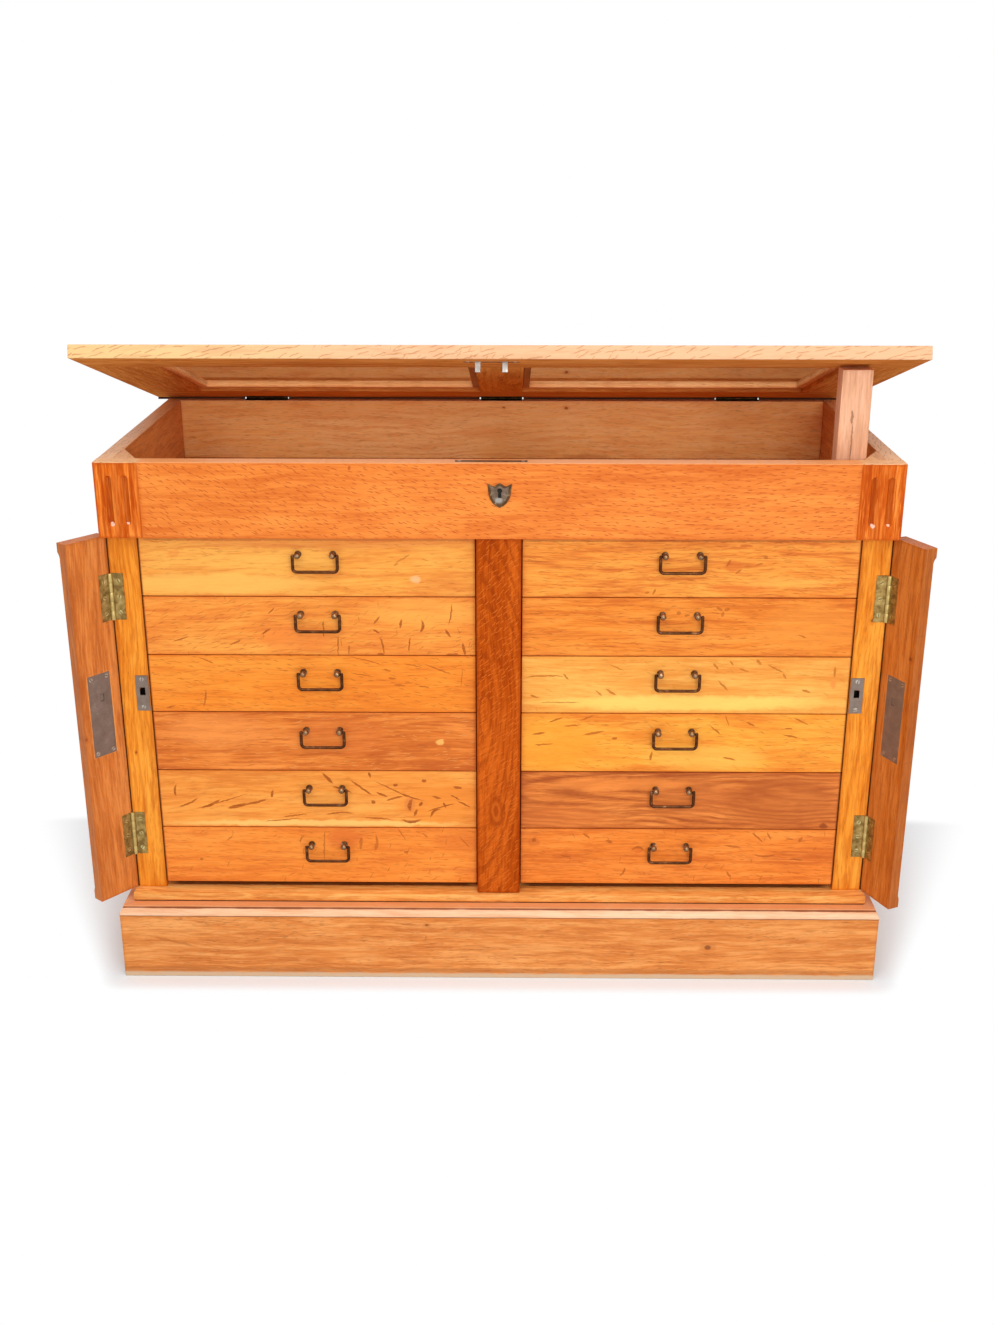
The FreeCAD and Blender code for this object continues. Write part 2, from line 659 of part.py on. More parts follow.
key_slot = block(
    ESCUTCHEON_X - KEYHOLE / 2,
    ESCUTCHEON_X + KEYHOLE / 2,
    FRONT - ESCUTCHEON_THICK - 1,
    LOCK_Y - ESCUTCHEON_THICK - 1,
    escutcheon_z - 3 * KEYHOLE,
    escutcheon_z,
)
key_hole = joined(key_way, [key_slot])
lid_lock = without(joined(selvedge, [lock_case]), prong_slots + [key_hole])
box_front = block(-BLOCK_INNER, BLOCK_INNER, FRONT, front_in, BOX_Z, RIM_Z)
save("box_front", [without(box_front, [selvedge_room, lock_room, key_hole])])
save("lid_lock", [lid_lock])

# Escutcheon: a shield with a straight top and a pointed foot.
shield_half = ESCUTCHEON_WIDTH / 2
shield_top = escutcheon_z + ESCUTCHEON_HEIGHT * 0.42
shield_waist = escutcheon_z - ESCUTCHEON_HEIGHT * 0.12
shield_foot = shield_top - ESCUTCHEON_HEIGHT


def shield_point(across, z):
    return point(ESCUTCHEON_X + across, FRONT, z)


curve_x = shield_half * 0.66
curve_z = (shield_waist + shield_foot) / 2 - ESCUTCHEON_HEIGHT * 0.07
shield_corners = [
    shield_point(-shield_half, shield_waist),
    shield_point(-shield_half, shield_top),
    shield_point(shield_half, shield_top),
    shield_point(shield_half, shield_waist),
]
shield_tip = shield_point(0, shield_foot)
shield_edges = [Part.makeLine(a, b) for a, b in zip(shield_corners, shield_corners[1:])]
shield_edges.append(Part.Arc(shield_corners[3], shield_point(curve_x, curve_z), shield_tip).toShape())
shield_edges.append(Part.Arc(shield_tip, shield_point(-curve_x, curve_z), shield_corners[0]).toShape())
shield = Part.Face(Part.Wire(shield_edges)).extrude(BACK * -ESCUTCHEON_THICK)
save("escutcheon", [shield.cut(key_hole)])

# Lid, drawn closed: rails across the full width, stiles and centre bar between them. Each
# member carries a thin lip over the glass; beads hold the glass from below.
rail_front_y = LID_FRONT + LID_FRAME
rail_back_y = REAR - LID_FRAME
stile_x = LID_HALF - LID_FRAME
bar = CENTRE_BAR / 2
bead_z = LID_Z + BEAD_RISE
glass_z = bead_z + BEAD_HEIGHT
lip_z = glass_z + GLASS_THICK
front_rail = block(-LID_HALF, LID_HALF, LID_FRONT, rail_front_y, LID_Z, LID_TOP)
back_rail = block(-LID_HALF, LID_HALF, rail_back_y, REAR, LID_Z, LID_TOP)
stile = block(stile_x, LID_HALF, rail_front_y, rail_back_y, LID_Z, LID_TOP)
stile = joined(stile, [block(stile_x - REBATE, stile_x, rail_front_y, rail_back_y, lip_z, LID_TOP)])
centre_bar = block(-bar, bar, rail_front_y, rail_back_y, LID_Z, LID_TOP)
centre_lip = block(-bar - REBATE, bar + REBATE, rail_front_y, rail_back_y, lip_z, LID_TOP)
centre_bar = joined(centre_bar, [centre_lip])
panes = []
beads = []
for side in (-1, 1):
    lip0, lip1 = sorted((side * (bar + REBATE), side * (stile_x - REBATE)))
    front_lip = block(lip0, lip1, rail_front_y, rail_front_y + REBATE, lip_z, LID_TOP)
    back_lip = block(lip0, lip1, rail_back_y - REBATE, rail_back_y, lip_z, LID_TOP)
    front_rail = joined(front_rail, [front_lip])
    back_rail = joined(back_rail, [back_lip])
    x0, x1 = sorted((side * bar, side * stile_x))
    beads += [
        block(x0, x1, rail_front_y, rail_front_y + REBATE, bead_z, glass_z),
        block(x0, x1, rail_back_y - REBATE, rail_back_y, bead_z, glass_z),
        block(x0, lip0, rail_front_y + REBATE, rail_back_y - REBATE, bead_z, glass_z),
        block(lip1, x1, rail_front_y + REBATE, rail_back_y - REBATE, bead_z, glass_z),
    ]
    pane_y0 = rail_front_y + GLASS_PLAY
    panes.append(block(x0 + GLASS_PLAY, x1 - GLASS_PLAY, pane_y0, rail_back_y - GLASS_PLAY, glass_z, lip_z))

# Link plate under the front rail, with two prongs that drop into the selvedge's slots.
link_top = LID_Z + SELVEDGE_THICK
link_half = LINK_LENGTH / 2
link_deep = LINK_WIDTH / 2
link = block(LOCK_X - link_half, LOCK_X + link_half, LOCK_Y - link_deep, LOCK_Y + link_deep, LID_Z, link_top)
link_room = block(
    LOCK_X - link_half - MORTISE_PLAY,
    LOCK_X + link_half + MORTISE_PLAY,
    LOCK_Y - link_deep - MORTISE_PLAY,
    LOCK_Y + link_deep + MORTISE_PLAY,
    LID_Z,
    link_top,
)
prongs = []
for side in (-1, 1):
    prong_x0 = LOCK_X + side * PRONG_SPACING / 2 - PRONG_WIDTH / 2
    prong_y0 = LOCK_Y - PRONG_THICK / 2
    prong_z0 = LID_Z - PRONG_DROP
    prongs.append(block(prong_x0, prong_x0 + PRONG_WIDTH, prong_y0, prong_y0 + PRONG_THICK, prong_z0, link_top))
link_plate = joined(link, prongs)
front_rail = front_rail.cut(link_room)

# Lid hinges along the back: the same butt hinge, laid down so that its line runs along X.
leaf_reach = LID_AXIS_Y - REAR + LID_LEAF
hinge_offsets = [LID_HINGE_PITCH * (index - (LID_HINGES - 1) / 2) for index in range(LID_HINGES)]


def laid_down(shape):
    copy = shape.copy()
    turn = FreeCAD.Matrix(0, 0, 1, 0, -1, 0, 0, LID_AXIS_Y, 0, -1, 0, LID_AXIS_Z, 0, 0, 0, 1)
    copy.transformShape(turn)
    return copy


lid_leaves = [laid_down(hinge_leaf(leaf_reach, LID_FACE, -1, x)) for x in hinge_offsets]
box_leaves = [laid_down(hinge_leaf(leaf_reach, LID_FACE, 1, x)) for x in hinge_offsets]
box_pins = [laid_down(hinge_pin(x)) for x in hinge_offsets]
back_rail = without(back_rail, [laid_down(hinge_room(leaf_reach, LID_FACE, -1, x)) for x in hinge_offsets])
box_back = without(box_back, [laid_down(hinge_room(leaf_reach, LID_FACE, 1, x)) for x in hinge_offsets])
save("box_back", [box_back])
save("box_hinge_leaves", box_leaves + box_pins)

# The lid stands open on the prop at its rest angle.
lid_line = point(0, LID_AXIS_Y, LID_AXIS_Z)


def save_on_lid(name, shapes):
    save(name, [turned(shape, lid_line, RIGHT, -LID_DEGREES) for shape in shapes])


save_on_lid("lid_frame", [front_rail, back_rail, mirrored(stile), stile, centre_bar])
save_on_lid("lid_beads", beads)
save_on_lid("lid_glass", panes)
save_on_lid("lid_hinge_leaves", lid_leaves)
save_on_lid("link_plate", [link_plate])

# The prop stands on the box floor behind the front board and meets the front rail.
prop_y = FRONT + PROP_SETBACK
prop_back = prop_y + PROP_DEPTH
angle = math.radians(LID_DEGREES)
under_lid = LID_AXIS_Z + LID_FACE / math.cos(angle) + (LID_AXIS_Y - prop_back) * math.tan(angle)
prop_top = under_lid - PROP_GAP
prop_x1 = BOX_INNER - PROP_FROM_END
prop = block(prop_x1 - PROP_WIDTH, prop_x1, prop_y, prop_back, FLOOR_Z + PROP_GAP, prop_top)
save("prop", [prop])
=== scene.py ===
import json
import math
import random

import bmesh
import bpy
from mathutils import Matrix, Vector

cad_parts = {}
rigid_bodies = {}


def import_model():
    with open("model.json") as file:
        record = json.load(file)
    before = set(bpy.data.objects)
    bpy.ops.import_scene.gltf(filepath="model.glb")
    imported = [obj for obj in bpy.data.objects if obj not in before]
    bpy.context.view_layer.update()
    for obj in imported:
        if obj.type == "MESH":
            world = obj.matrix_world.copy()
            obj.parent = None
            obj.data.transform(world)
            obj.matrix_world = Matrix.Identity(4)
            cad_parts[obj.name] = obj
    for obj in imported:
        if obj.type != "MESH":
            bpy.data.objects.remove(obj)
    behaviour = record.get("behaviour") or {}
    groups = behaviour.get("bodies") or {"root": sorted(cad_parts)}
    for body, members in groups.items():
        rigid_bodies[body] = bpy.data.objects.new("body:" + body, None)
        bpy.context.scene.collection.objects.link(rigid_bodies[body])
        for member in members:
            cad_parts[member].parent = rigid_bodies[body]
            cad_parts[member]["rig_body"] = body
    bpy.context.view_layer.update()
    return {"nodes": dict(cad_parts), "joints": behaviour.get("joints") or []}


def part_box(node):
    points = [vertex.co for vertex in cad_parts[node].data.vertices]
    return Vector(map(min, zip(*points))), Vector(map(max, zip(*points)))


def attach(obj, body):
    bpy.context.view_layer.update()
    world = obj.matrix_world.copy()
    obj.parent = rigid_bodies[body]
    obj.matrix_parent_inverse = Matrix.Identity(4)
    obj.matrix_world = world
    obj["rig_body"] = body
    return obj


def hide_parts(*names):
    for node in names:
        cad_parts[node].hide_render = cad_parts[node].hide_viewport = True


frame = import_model()

# The camera stands on a tripod in front of the cabinet, a little right of its middle and
# higher than its lid, and looks down at it by some twenty degrees.
tripod = (0.0214, -2.4380, 1.3691)
yaw = -0.0110
pitch = 0.3563
focal_pixels = 1477.53
photo_height = 1325
sight = Vector((math.sin(yaw) * math.cos(pitch), math.cos(yaw) * math.cos(pitch), -math.sin(pitch)))
sideways = Vector((math.cos(yaw), -math.sin(yaw), 0))
camera_data = bpy.data.cameras.new("camera")
camera_data.sensor_width = 36
camera_data.lens = focal_pixels / photo_height * camera_data.sensor_width
camera_data.clip_start = 0.05
camera = bpy.data.objects.new("camera", camera_data)
upright = sideways.cross(sight)
aimed = Matrix((sideways, upright, -sight)).transposed().to_4x4()
camera.matrix_world = Matrix.Translation(tripod) @ aimed
bpy.context.scene.collection.objects.link(camera)
bpy.context.scene.camera = camera


# The plinth is oak: a long front board and two returns mitred round it, on a plain frame
# that carries the weight. Every wooden piece below is worked and finished the same way.
class Tone:
    """A value or colour on its way through a node tree; sums on it add the nodes."""

    def __init__(self, tree, socket=None):
        self.tree = tree
        self.socket = socket

    def node(self, kind, settings=None, sockets=None, out=0):
        made = self.tree.nodes.new(kind if "Node" in kind else "ShaderNode" + kind)
        for key, value in (settings or {}).items():
            setattr(made, key, value)
        for key, value in (sockets or {}).items():
            if isinstance(value, Tone):
                self.tree.links.new(value.socket, made.inputs[key])
            else:
                made.inputs[key].default_value = value
        return Tone(self.tree, made.outputs[out])

    def other(self, out):
        return Tone(self.tree, self.socket.node.outputs[out])

    def math(self, operation, *values):
        return self.node("Math", {"operation": operation}, dict(enumerate(values)))

    def __add__(self, other):
        return self.math("ADD", self, other)

    def __sub__(self, other):
        return self.math("SUBTRACT", self, other)

    def __rsub__(self, other):
        return self.math("SUBTRACT", other, self)

    def __mul__(self, other):
        return self.math("MULTIPLY", self, other)

    def __truediv__(self, other):
        return self.math("DIVIDE", self, other)

    __radd__ = __add__
    __rmul__ = __mul__

    def size(self):
        return self.math("ABSOLUTE", self)

    def most(self, other):
        return self.math("MAXIMUM", self, other)

    def least(self, other):
        return self.math("MINIMUM", self, other)

    def step(self, low, high):
        sockets = {"Value": self, "From Min": low, "From Max": high}
        return self.node("MapRange", {"interpolation_type": "SMOOTHSTEP"}, sockets)

    def part(self, axis):
        return self.node("SeparateXYZ", None, {0: self}, axis)

    def scaled(self, factors):
        return self.node("VectorMath", {"operation": "MULTIPLY"}, {0: self, 1: factors})

    def shifted(self, offset):
        return self.node("VectorMath", {"operation": "ADD"}, {0: self, 1: offset})

    def wavering(self, fineness, reach):
        """The same place, pushed about a little, so that what is drawn there isn't ruled."""
        push = self.cloud((fineness, fineness, fineness), 2.0).other(1)
        return self.shifted(push.shifted((-0.5, -0.5, -0.5)).scaled((reach, reach, 0)))

    def cloud(self, factors, detail=3.0, roughness=0.55):
        sockets = {"Vector": self.scaled(factors), "Scale": 1.0, "Detail": detail, "Roughness": roughness}
        return self.node("TexNoise", {"noise_dimensions": "3D"}, sockets)

    def blend(self, first, second):
        first, second = [tone if isinstance(tone, Tone) else colour(*tone) for tone in (first, second)]
        sockets = {0: self, 6: first, 7: second}
        return self.node("Mix", {"data_type": "RGBA"}, sockets, 2)

    def inside(self, place, size, degrees=0.0, bend=0.0, square=False):
        """A mask over a small spot of a board, in millimetres: a patch, a bent stroke or a square."""
        spot = {"Location": (place[0] / 1000, place[1] / 1000, 0), "Rotation": (0, 0, math.radians(degrees))}
        spot.update({"Vector": self, "Scale": (size[0] / 1000, size[1] / 1000, 1)})
        own = self.node("Mapping", {"vector_type": "TEXTURE"}, spot)
        long, wide = own.part(0), own.part(1)
        if square:
            return 1 - long.size().most(wide.size()).step(0.92, 1.0)
        if bend:
            wide = wide + long * long * bend - bend * 0.4
        return 1 - (long * long + wide * wide).step(0.25, 1.1)


def colour(red, green, blue):
    tones = [value / 255 for value in (red, green, blue)]
    linear = [((tone + 0.055) / 1.055) ** 2.4 if tone > 0.04045 else tone / 12.92 for tone in tones]
    return (*linear, 1.0)


def new_material(name):
    material = bpy.data.materials.new(name)
    material.use_nodes = True
    tree = material.node_tree
    return material, tree, tree.nodes["Principled BSDF"]


def strokes(wood, along, cell, size, lean, spread, share, drift=0.0, bend=0.0):
    """Short tapering strokes, one to a cell in millimetres, each with its own lean and length."""
    cells = wood.scaled((1000 / cell[0], 1000 / cell[1], 0))
    settings = {"voronoi_dimensions": "2D", "feature": "F1"}
    home = wood.node("TexVoronoi", settings, {"Vector": cells, "Scale": 1.0, "Randomness": 0.85}, 2)
    dice = home.other(1)
    away = wood.node("VectorMath", {"operation": "SUBTRACT"}, {0: cells, 1: home})
    away = away.scaled((cell[0] / 1000, cell[1] / 1000, 0))
    turn = (dice.part(0) - 0.5) * math.radians(-spread) - along * math.radians(drift) - math.radians(lean)
    own = wood.node("VectorRotate", {"rotation_type": "Z_AXIS"}, {"Vector": away, "Angle": turn})
    long = own.part(0) / (dice.part(1) * (0.5 * size[0] / 2000) + 0.5 * size[0] / 2000)
    wide = own.part(1) * (2000 / size[1])
    if bend:
        wide = wide + long * long * (dice.part(1) - 0.5) * bend
    mark = 1 - (long * long + wide * wide).step(0.25, 1.1)
    return mark * dice.math("LESS_THAN", dice.part(2), share)


def oak(name, main, pale, dark, speck=(154, 74, 16), ring=6, ringing=0.3, ring_tone=None, pith=(0, 120),
        tilt=0.0, wander=20, streaks=0.6, pores=0.5, patches=0.6, figures=(), stains=(), marks=(),
        inked=0.85, knots=(), lines=(), cuts=(), joint=0, dirt_and_shade=0.35, rim=None, rim_axis=1, rim_side=1,
        rim_left=None, rim_lines=(204, 142, 98), shine=0.18, rough=0.40):
    """Polished oak. Sizes are in millimetres from a board's middle, along its grain and across."""
    material, tree, shader = new_material(name)
    start = Tone(tree)
    place = start.node("Attribute", {"attribute_name": "place"}, out=1)
    half = start.node("Attribute", {"attribute_name": "half"}, out=1)
    seed = start.node("Attribute", {"attribute_name": "seed"}, out=2)
    wood = place.shifted(start.node("CombineXYZ", None, {0: seed * 7.3, 1: seed * 3.1, 2: seed * 1.7}))
    along, across, through = place.part(0), place.part(1), place.part(2)

    # The grain sways a little; everything that follows the grain is read through this.
    slow = wood.cloud((1.9, 5, 5), 2.0) - 0.5
    quick = wood.cloud((9, 26, 26), 3.0) - 0.5
    sway = (slow * 2 + quick * 0.35) * (wander / 1000)
    grain = wood.shifted(start.node("CombineXYZ", None, {1: sway, 2: sway * 0.6}))
    drawn_on = place.wavering(160, 0.0035)

    # Broad changes of tone, then coarse and fine streaks.
    broad = wood.cloud((3.4, 12, 12), 3.0, 0.6)
    coarse = grain.cloud((9, 110, 110), 3.0, 0.6)
    fine = grain.cloud((26, 340, 340), 2.0, 0.6)
    tint = (broad.step(0.49, 0.66) * patches).blend(main, pale)
    tint = (broad.step(0.49, 0.31) * patches).blend(tint, dark)
    tint = (coarse.step(0.50, 0.65) * streaks).blend(tint, pale)
    tint = (coarse.step(0.50, 0.35) * streaks).blend(tint, dark)
    tint = (fine.step(0.50, 0.66) * streaks * 0.7).blend(tint, pale)
    tint = (fine.step(0.50, 0.34) * streaks * 0.7).blend(tint, dark)

    # Growth rings: shells round a pith outside the board.
    aside = across + sway - pith[0] / 1000
    beneath = through + along * tilt + slow * (wander / 1000) + (seed - 0.5) * 0.006 + pith[1] / 1000
    squared = aside * aside + beneath * beneath
    turns = squared.math("SQRT", squared) * (1000 / ring) + fine * 0.15
    band = turns.math("FRACT", turns)
    rings = (1 - band.step(0.0, 0.5)).most(band.step(0.82, 1.0))
    rings = rings * (0.3 + 0.7 * wood.cloud((4, 40, 40), 2.0).step(0.35, 0.62))
    tint = (rings * ringing).blend(tint, ring_tone or dark)

    # Open pores, short dashes and the longer bent flecks of the rays.
    pore = grain.cloud((62, 560, 560), 1.0).step(0.58, 0.68)
    pore = pore * wood.cloud((9, 24, 24), 2.0).step(0.32, 0.56) * (0.5 + 0.5 * rings)
    tint = (pore * pores).blend(tint, speck)
    scratch = pore
    for strength, tone, figure in figures:
        dash = strokes(wood.wavering(160, 0.0035), along, **figure)
        tint = (dash * strength).blend(tint, tone)
        scratch = scratch.most(dash)
    depth = through + half.part(2)
    # Squares recoloured down to a depth: painted shade under and over drawers, in flutes and in a mortise;
    # the plain tone of the box back's outer face; a pale halo round a flap's lock plate.
    for x, y, long, wide, tone, strength, near, far in cuts:
        cut = drawn_on.inside((x, y), (long, wide), square=True) * depth.step(near / 1000, far / 1000)
        tint = (cut * strength).blend(tint, tone)
    for x, y, long, wide, tone, strength in stains:
        wet = place.wavering(45, 0.012).inside((x, y), (long, wide))
        tint = (wet * strength).blend(tint, tone)
    drawn = None
    for x, y, length, degrees, width, *bend in marks:
        beside = drawn_on.shifted(drawn * 0.00001) if drawn else drawn_on
        mark = beside.inside((x, y), (length * 0.66, width * 1.1), degrees, *bend)
        drawn = drawn.most(mark) if drawn else mark
    if drawn:
        tint = (drawn.step(0.0, 0.6) * (inked * 0.5)).blend(tint, dark)
        drawn = drawn.step(0.55, 0.95) * (0.7 + 0.3 * fine.step(0.4, 0.6))
        tint = (drawn * inked).blend(tint, speck)
        scratch = scratch.most(drawn)

    # Knots: dark hearts with a darker halo round them.
    for x, y, size in knots:
        tint = (drawn_on.inside((x, y), (size * 3.4, size * 1.9)) * 0.5).blend(tint, dark)
        tint = (drawn_on.inside((x, y), (size * 1.3, size)) * 0.9).blend(tint, speck)

    # Darker along the ends and edges: partly dirt, partly painted shade where a neighbour stands proud.
    end = half.part(0) - along.size()
    edge = half.part(1) - across.size()
    near = end.least(edge) + (wood.cloud((70, 70, 70), 3.0) - 0.5) * 0.006
    tint = ((1 - near.step(0.0, 0.006)) * dirt_and_shade).blend(tint, dark)
    # A dark line at a drawer front's outer end: painted shade in the gap beside the post.
    if joint:
        far = half.part(0) - along * joint
        tint = ((1 - far.step(0.0008, 0.0028)) * 0.75).blend(tint, (96, 44, 14))
    # Bands at given heights; on the moulding the dark ones are painted shade in its quirks.
    if lines:
        height = start.node("TexCoord", None, None, 3).part(2)
        for level, width, tone, strength in lines:
            off = (height - level / 1000).size() + (wood.cloud((25, 25, 25), 2.0) - 0.5) * (width / 1600)
            tint = ((1 - off.step(width / 4000, width / 1600)) * strength).blend(tint, tone)
    # One edge face is painted pale all over, painted light on a top or front edge, with grain lines drawn in
    # it.
    if rim:
        toward, run = (along, across) if rim_axis == 0 else (across, along)
        painted_light_edge = (toward * rim_side - half.part(rim_axis)).step(-0.0014, -0.0003)
        painted_light = rim
        if rim_left:
            painted_light = run.step(-0.6, -0.1).blend(rim_left, painted_light)
        edge_on = start.node("CombineXYZ", None, {0: run, 1: through})
        line = strokes(edge_on.wavering(120, 0.004), run, (26, 7), (42, 2.0), 17, 26, 0.8, bend=1.0)
        vein = strokes(edge_on.wavering(120, 0.004), run, (12, 10), (14, 1.7), 50, 70, 0.5, bend=2.0)
        line = (line * 0.75).most(vein * 0.7 * broad.step(0.45, 0.58)) + coarse.step(0.54, 0.34) * 0.3
        tint = painted_light_edge.blend(tint, line.blend(painted_light, rim_lines))

    height = coarse * 0.35 - scratch * 0.8 - rings * 0.15
    bump = height.node("Bump", None, {"Strength": 0.3, "Distance": 0.0007, "Height": height})
    gloss = rough - 0.08 + coarse * 0.12 + broad * 0.08 + scratch * 0.2
    tree.links.new(tint.socket, shader.inputs["Base Color"])
    tree.links.new(gloss.socket, shader.inputs["Roughness"])
    tree.links.new(bump.socket, shader.inputs["Normal"])
    shader.inputs["Specular IOR Level"].default_value = shine
    return material


def shells(node):
    """The closed solids of a CAD node, each a list of triangles."""
    mesh = frame["nodes"][node].data
    spots = [tuple(round(c, 7) for c in vertex.co) for vertex in mesh.vertices]
    found, faces, unmatched = [], [], set()
    for polygon in mesh.polygons:
        corners = [spots[index] for index in polygon.vertices]
        faces.append(corners)
        for edge in zip(corners, corners[1:] + corners[:1]):
            if edge[::-1] in unmatched:
                unmatched.discard(edge[::-1])
            else:
                unmatched.add(edge)
        if not unmatched:
            found.append(faces)
            faces = []
    return found + [faces] if faces else found


def fit(name, mesh, body, node=None):
    """A finished piece, on the body it moves with, in the place of a CAD node or beside it."""
    piece = bpy.data.objects.new(name, mesh)
    bpy.context.scene.collection.objects.link(piece)
    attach(piece, body)
    if node:
        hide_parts(node)


def worked(name, node, finish, ease=0.8, pick=None, turn=None, along=None, solids=None, swell=0):
    """A piece made from a CAD node's solids: faces rejoined, edges eased, grain laid along it."""
    turn = turn or Matrix.Identity(3)
    points, faces, smooth, places, halves, seeds = [], [], [], [], [], []
    for index, sides in enumerate(solids or shells(node)):
        if pick is not None and index not in pick:
            continue
        solid = bmesh.new()
        corners = {}
        for side in sides:
            for spot in side:
                if spot not in corners:
                    corners[spot] = solid.verts.new(spot)
            if len(set(side)) == len(side):
                solid.faces.new([corners[spot] for spot in side])
        bmesh.ops.dissolve_limit(solid, angle_limit=math.radians(0.6), verts=solid.verts, edges=solid.edges)
        for face in solid.faces:
            bends = [edge.calc_face_angle(0) for edge in face.edges if len(edge.link_faces) == 2]
            face.smooth = any(math.radians(0.8) < bend < math.radians(32) for bend in bends)
        if ease:
            hard = [edge for edge in solid.edges if edge.calc_face_angle(0) > math.radians(32)]
            round_over = dict(offset=ease / 1000, segments=2, profile=0.5, affect="EDGES", clamp_overlap=True)
            for face in bmesh.ops.bevel(solid, geom=hard, **round_over)["faces"]:
                face.smooth = True
        if swell:
            solid.normal_update()
            clear = [vertex for vertex in solid.verts if vertex.normal.y < 0.1]
            for vertex, push in [(vertex, vertex.normal * (swell / 1000)) for vertex in clear]:
                vertex.co += push
        cells = [turn @ vertex.co for vertex in solid.verts]
        low = [min(cell[axis] for cell in cells) for axis in range(3)]
        high = [max(cell[axis] for cell in cells) for axis in range(3)]
        order = sorted(range(3), key=lambda axis: low[axis] - high[axis])
        if along is not None:
            order = [along] + [axis for axis in order if axis != along]
        seed = random.Random(name + str(index)).random()
        first = len(points)
        solid.verts.index_update()
        for vertex, cell in zip(solid.verts, cells):
            points.append(vertex.co.copy())
            places.append([cell[axis] - (low[axis] + high[axis]) / 2 for axis in order])
            halves.append([(high[axis] - low[axis]) / 2 for axis in order])
            seeds.append(seed)
        for face in solid.faces:
            faces.append([first + vertex.index for vertex in face.verts])
            smooth.append(face.smooth)
        solid.free()
    mesh = bpy.data.meshes.new(name)
    mesh.from_pydata(points, [], faces)
    mesh.polygons.foreach_set("use_smooth", smooth)
    for key, values in (("place", places), ("half", halves)):
        layer = mesh.attributes.new(key, "FLOAT_VECTOR", "POINT")
        layer.data.foreach_set("vector", [value for row in values for value in row])
    mesh.attributes.new("seed", "FLOAT", "POINT").data.foreach_set("value", seeds)
    mesh.materials.append(finish)
    mesh.update()
    fit(name, mesh, frame["nodes"][node]["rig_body"], node)


plinth_oak = oak(
    "plinth_oak", (228, 140, 66), (246, 172, 100), (200, 112, 48), speck=(146, 80, 34), ring=7, ringing=0.25,
    pith=(30, 90), tilt=0.01, wander=30, pores=0.6, patches=0.5, knots=((350, 4, 5), (-119, 44, 2.4)),
    marks=((-545, 10, 70, -14, 3), (-121, 20, 7, 80, 1.5)), inked=0.35,
    lines=((3.5, 12, (214, 180, 146), 1.0), (14, 10, (178, 104, 50), 0.5))
)
frame_oak = oak("frame_oak", (186, 112, 50), (208, 142, 76), (140, 78, 30), dirt_and_shade=0.2, rough=0.6)
worked("plinth_board", "plinth_front", plinth_oak, 1.5)
worked("plinth_return_boards", "plinth_returns", plinth_oak, 1.5)
worked("plinth_bearers", "plinth_frame", frame_oak, 1.0)

# The base moulding runs round three sides over the plinth: a ledge, a thin fillet and an ovolo. Its oak is
# painted pale all over as a painted highlight on the ovolo; the ledge has an orange band, and the quirk
# between ledge and ovolo and the foot of the ovolo are painted shade. The base board above it has a rounded
# front edge.
moulding_painted_highlight_oak = oak(
    "moulding_painted_highlight_oak", (249, 197, 154), (255, 212, 174), (226, 156, 108), pith=(50, 200), ringing=0.15,
    streaks=0.4, pores=0.15, patches=0.5, dirt_and_shade=0.0, rough=0.36, lines=((130.6, 6.5, (226, 140, 76), 0.75),
    (128.6, 2.6, (122, 52, 20), 0.85), (115.4, 1.8, (112, 52, 24), 0.8))
)
# Painted shade on the base board's top, in the gap under the bottom drawers.
shade_under_drawers = [(x, -227, 262, 7, (80, 36, 12), 0.75, 10, 12) for x in (-297, 297)]
base_oak = oak(
    "base_oak", (248, 168, 82), (255, 198, 114), (214, 126, 54), pith=(100, 80), ring=5, wander=30,
    streaks=0.7, patches=0.5, dirt_and_shade=0.1, cuts=shade_under_drawers, lines=((132.6, 2.0, (120, 54, 18), 0.7),)
)
worked("base_mouldings", "base_moulding", moulding_painted_highlight_oak, 0.6)
worked("base_ledge", "base_board", base_oak, 0.5)

# The carcase: yellow oak posts with mortised hinges, plain sides and back glued up from
# boards, and between the drawer banks a darker pilaster that stands proud of them.
def glued(node, axis, count, seam=0.0002):
    """Equal boards side by side along an axis, which make up each wall of a CAD node."""
    corners_of_sides = ((0, 2, 3, 1), (4, 5, 7, 6), (0, 1, 5, 4), (2, 6, 7, 3), (0, 4, 6, 2), (1, 3, 7, 5))
    boards = []
    for wall in shells(node):
        reach = [[end(spot[way] for side in wall for spot in side) for end in (min, max)] for way in range(3)]
        start, stop = reach[axis]
        step = (stop - start + seam) / count
        for board in range(count):
            reach[axis] = (start + step * board, start + step * (board + 1) - seam)
            spots = [(x, y, z) for z in reach[2] for y in reach[1] for x in reach[0]]
            boards.append([[spots[corner] for corner in side] for side in corners_of_sides])
    return boards


post_look = dict(
    main=(243, 146, 40), pale=(254, 172, 64), dark=(204, 106, 24), speck=(150, 76, 22), tilt=0.05, shine=0.08,
    ring=7, ringing=0.55, wander=26, pores=0.4, patches=0.8, dirt_and_shade=0.6
)
for index, (side, pith, knot, mortise) in enumerate((
    ("left", (10, 12), (-60, -8, 2), (43.5, 11.4)),
    ("right", (-8, 16), (171, 3, 3.2), (43.5, -11.4)),
)):
    # Black in the strike's mortise in each post: painted shade.
    mortise_shade = (*mortise, 6, 6, (20, 12, 8), 1, 0.4, 1)
    post_oak = oak("post_oak_" + side, pith=pith, knots=(knot,), cuts=(mortise_shade,), **post_look)
    worked("post_" + side, "front_posts", post_oak, 0.6, pick=(index,))
side_oak = oak(
    "side_oak", (226, 128, 52), (244, 156, 80), (178, 88, 32), pith=(20, 50), tilt=0.03, ring=8, ringing=0.6,
    wander=40, pores=0.45, patches=0.5, dirt_and_shade=0.25
)
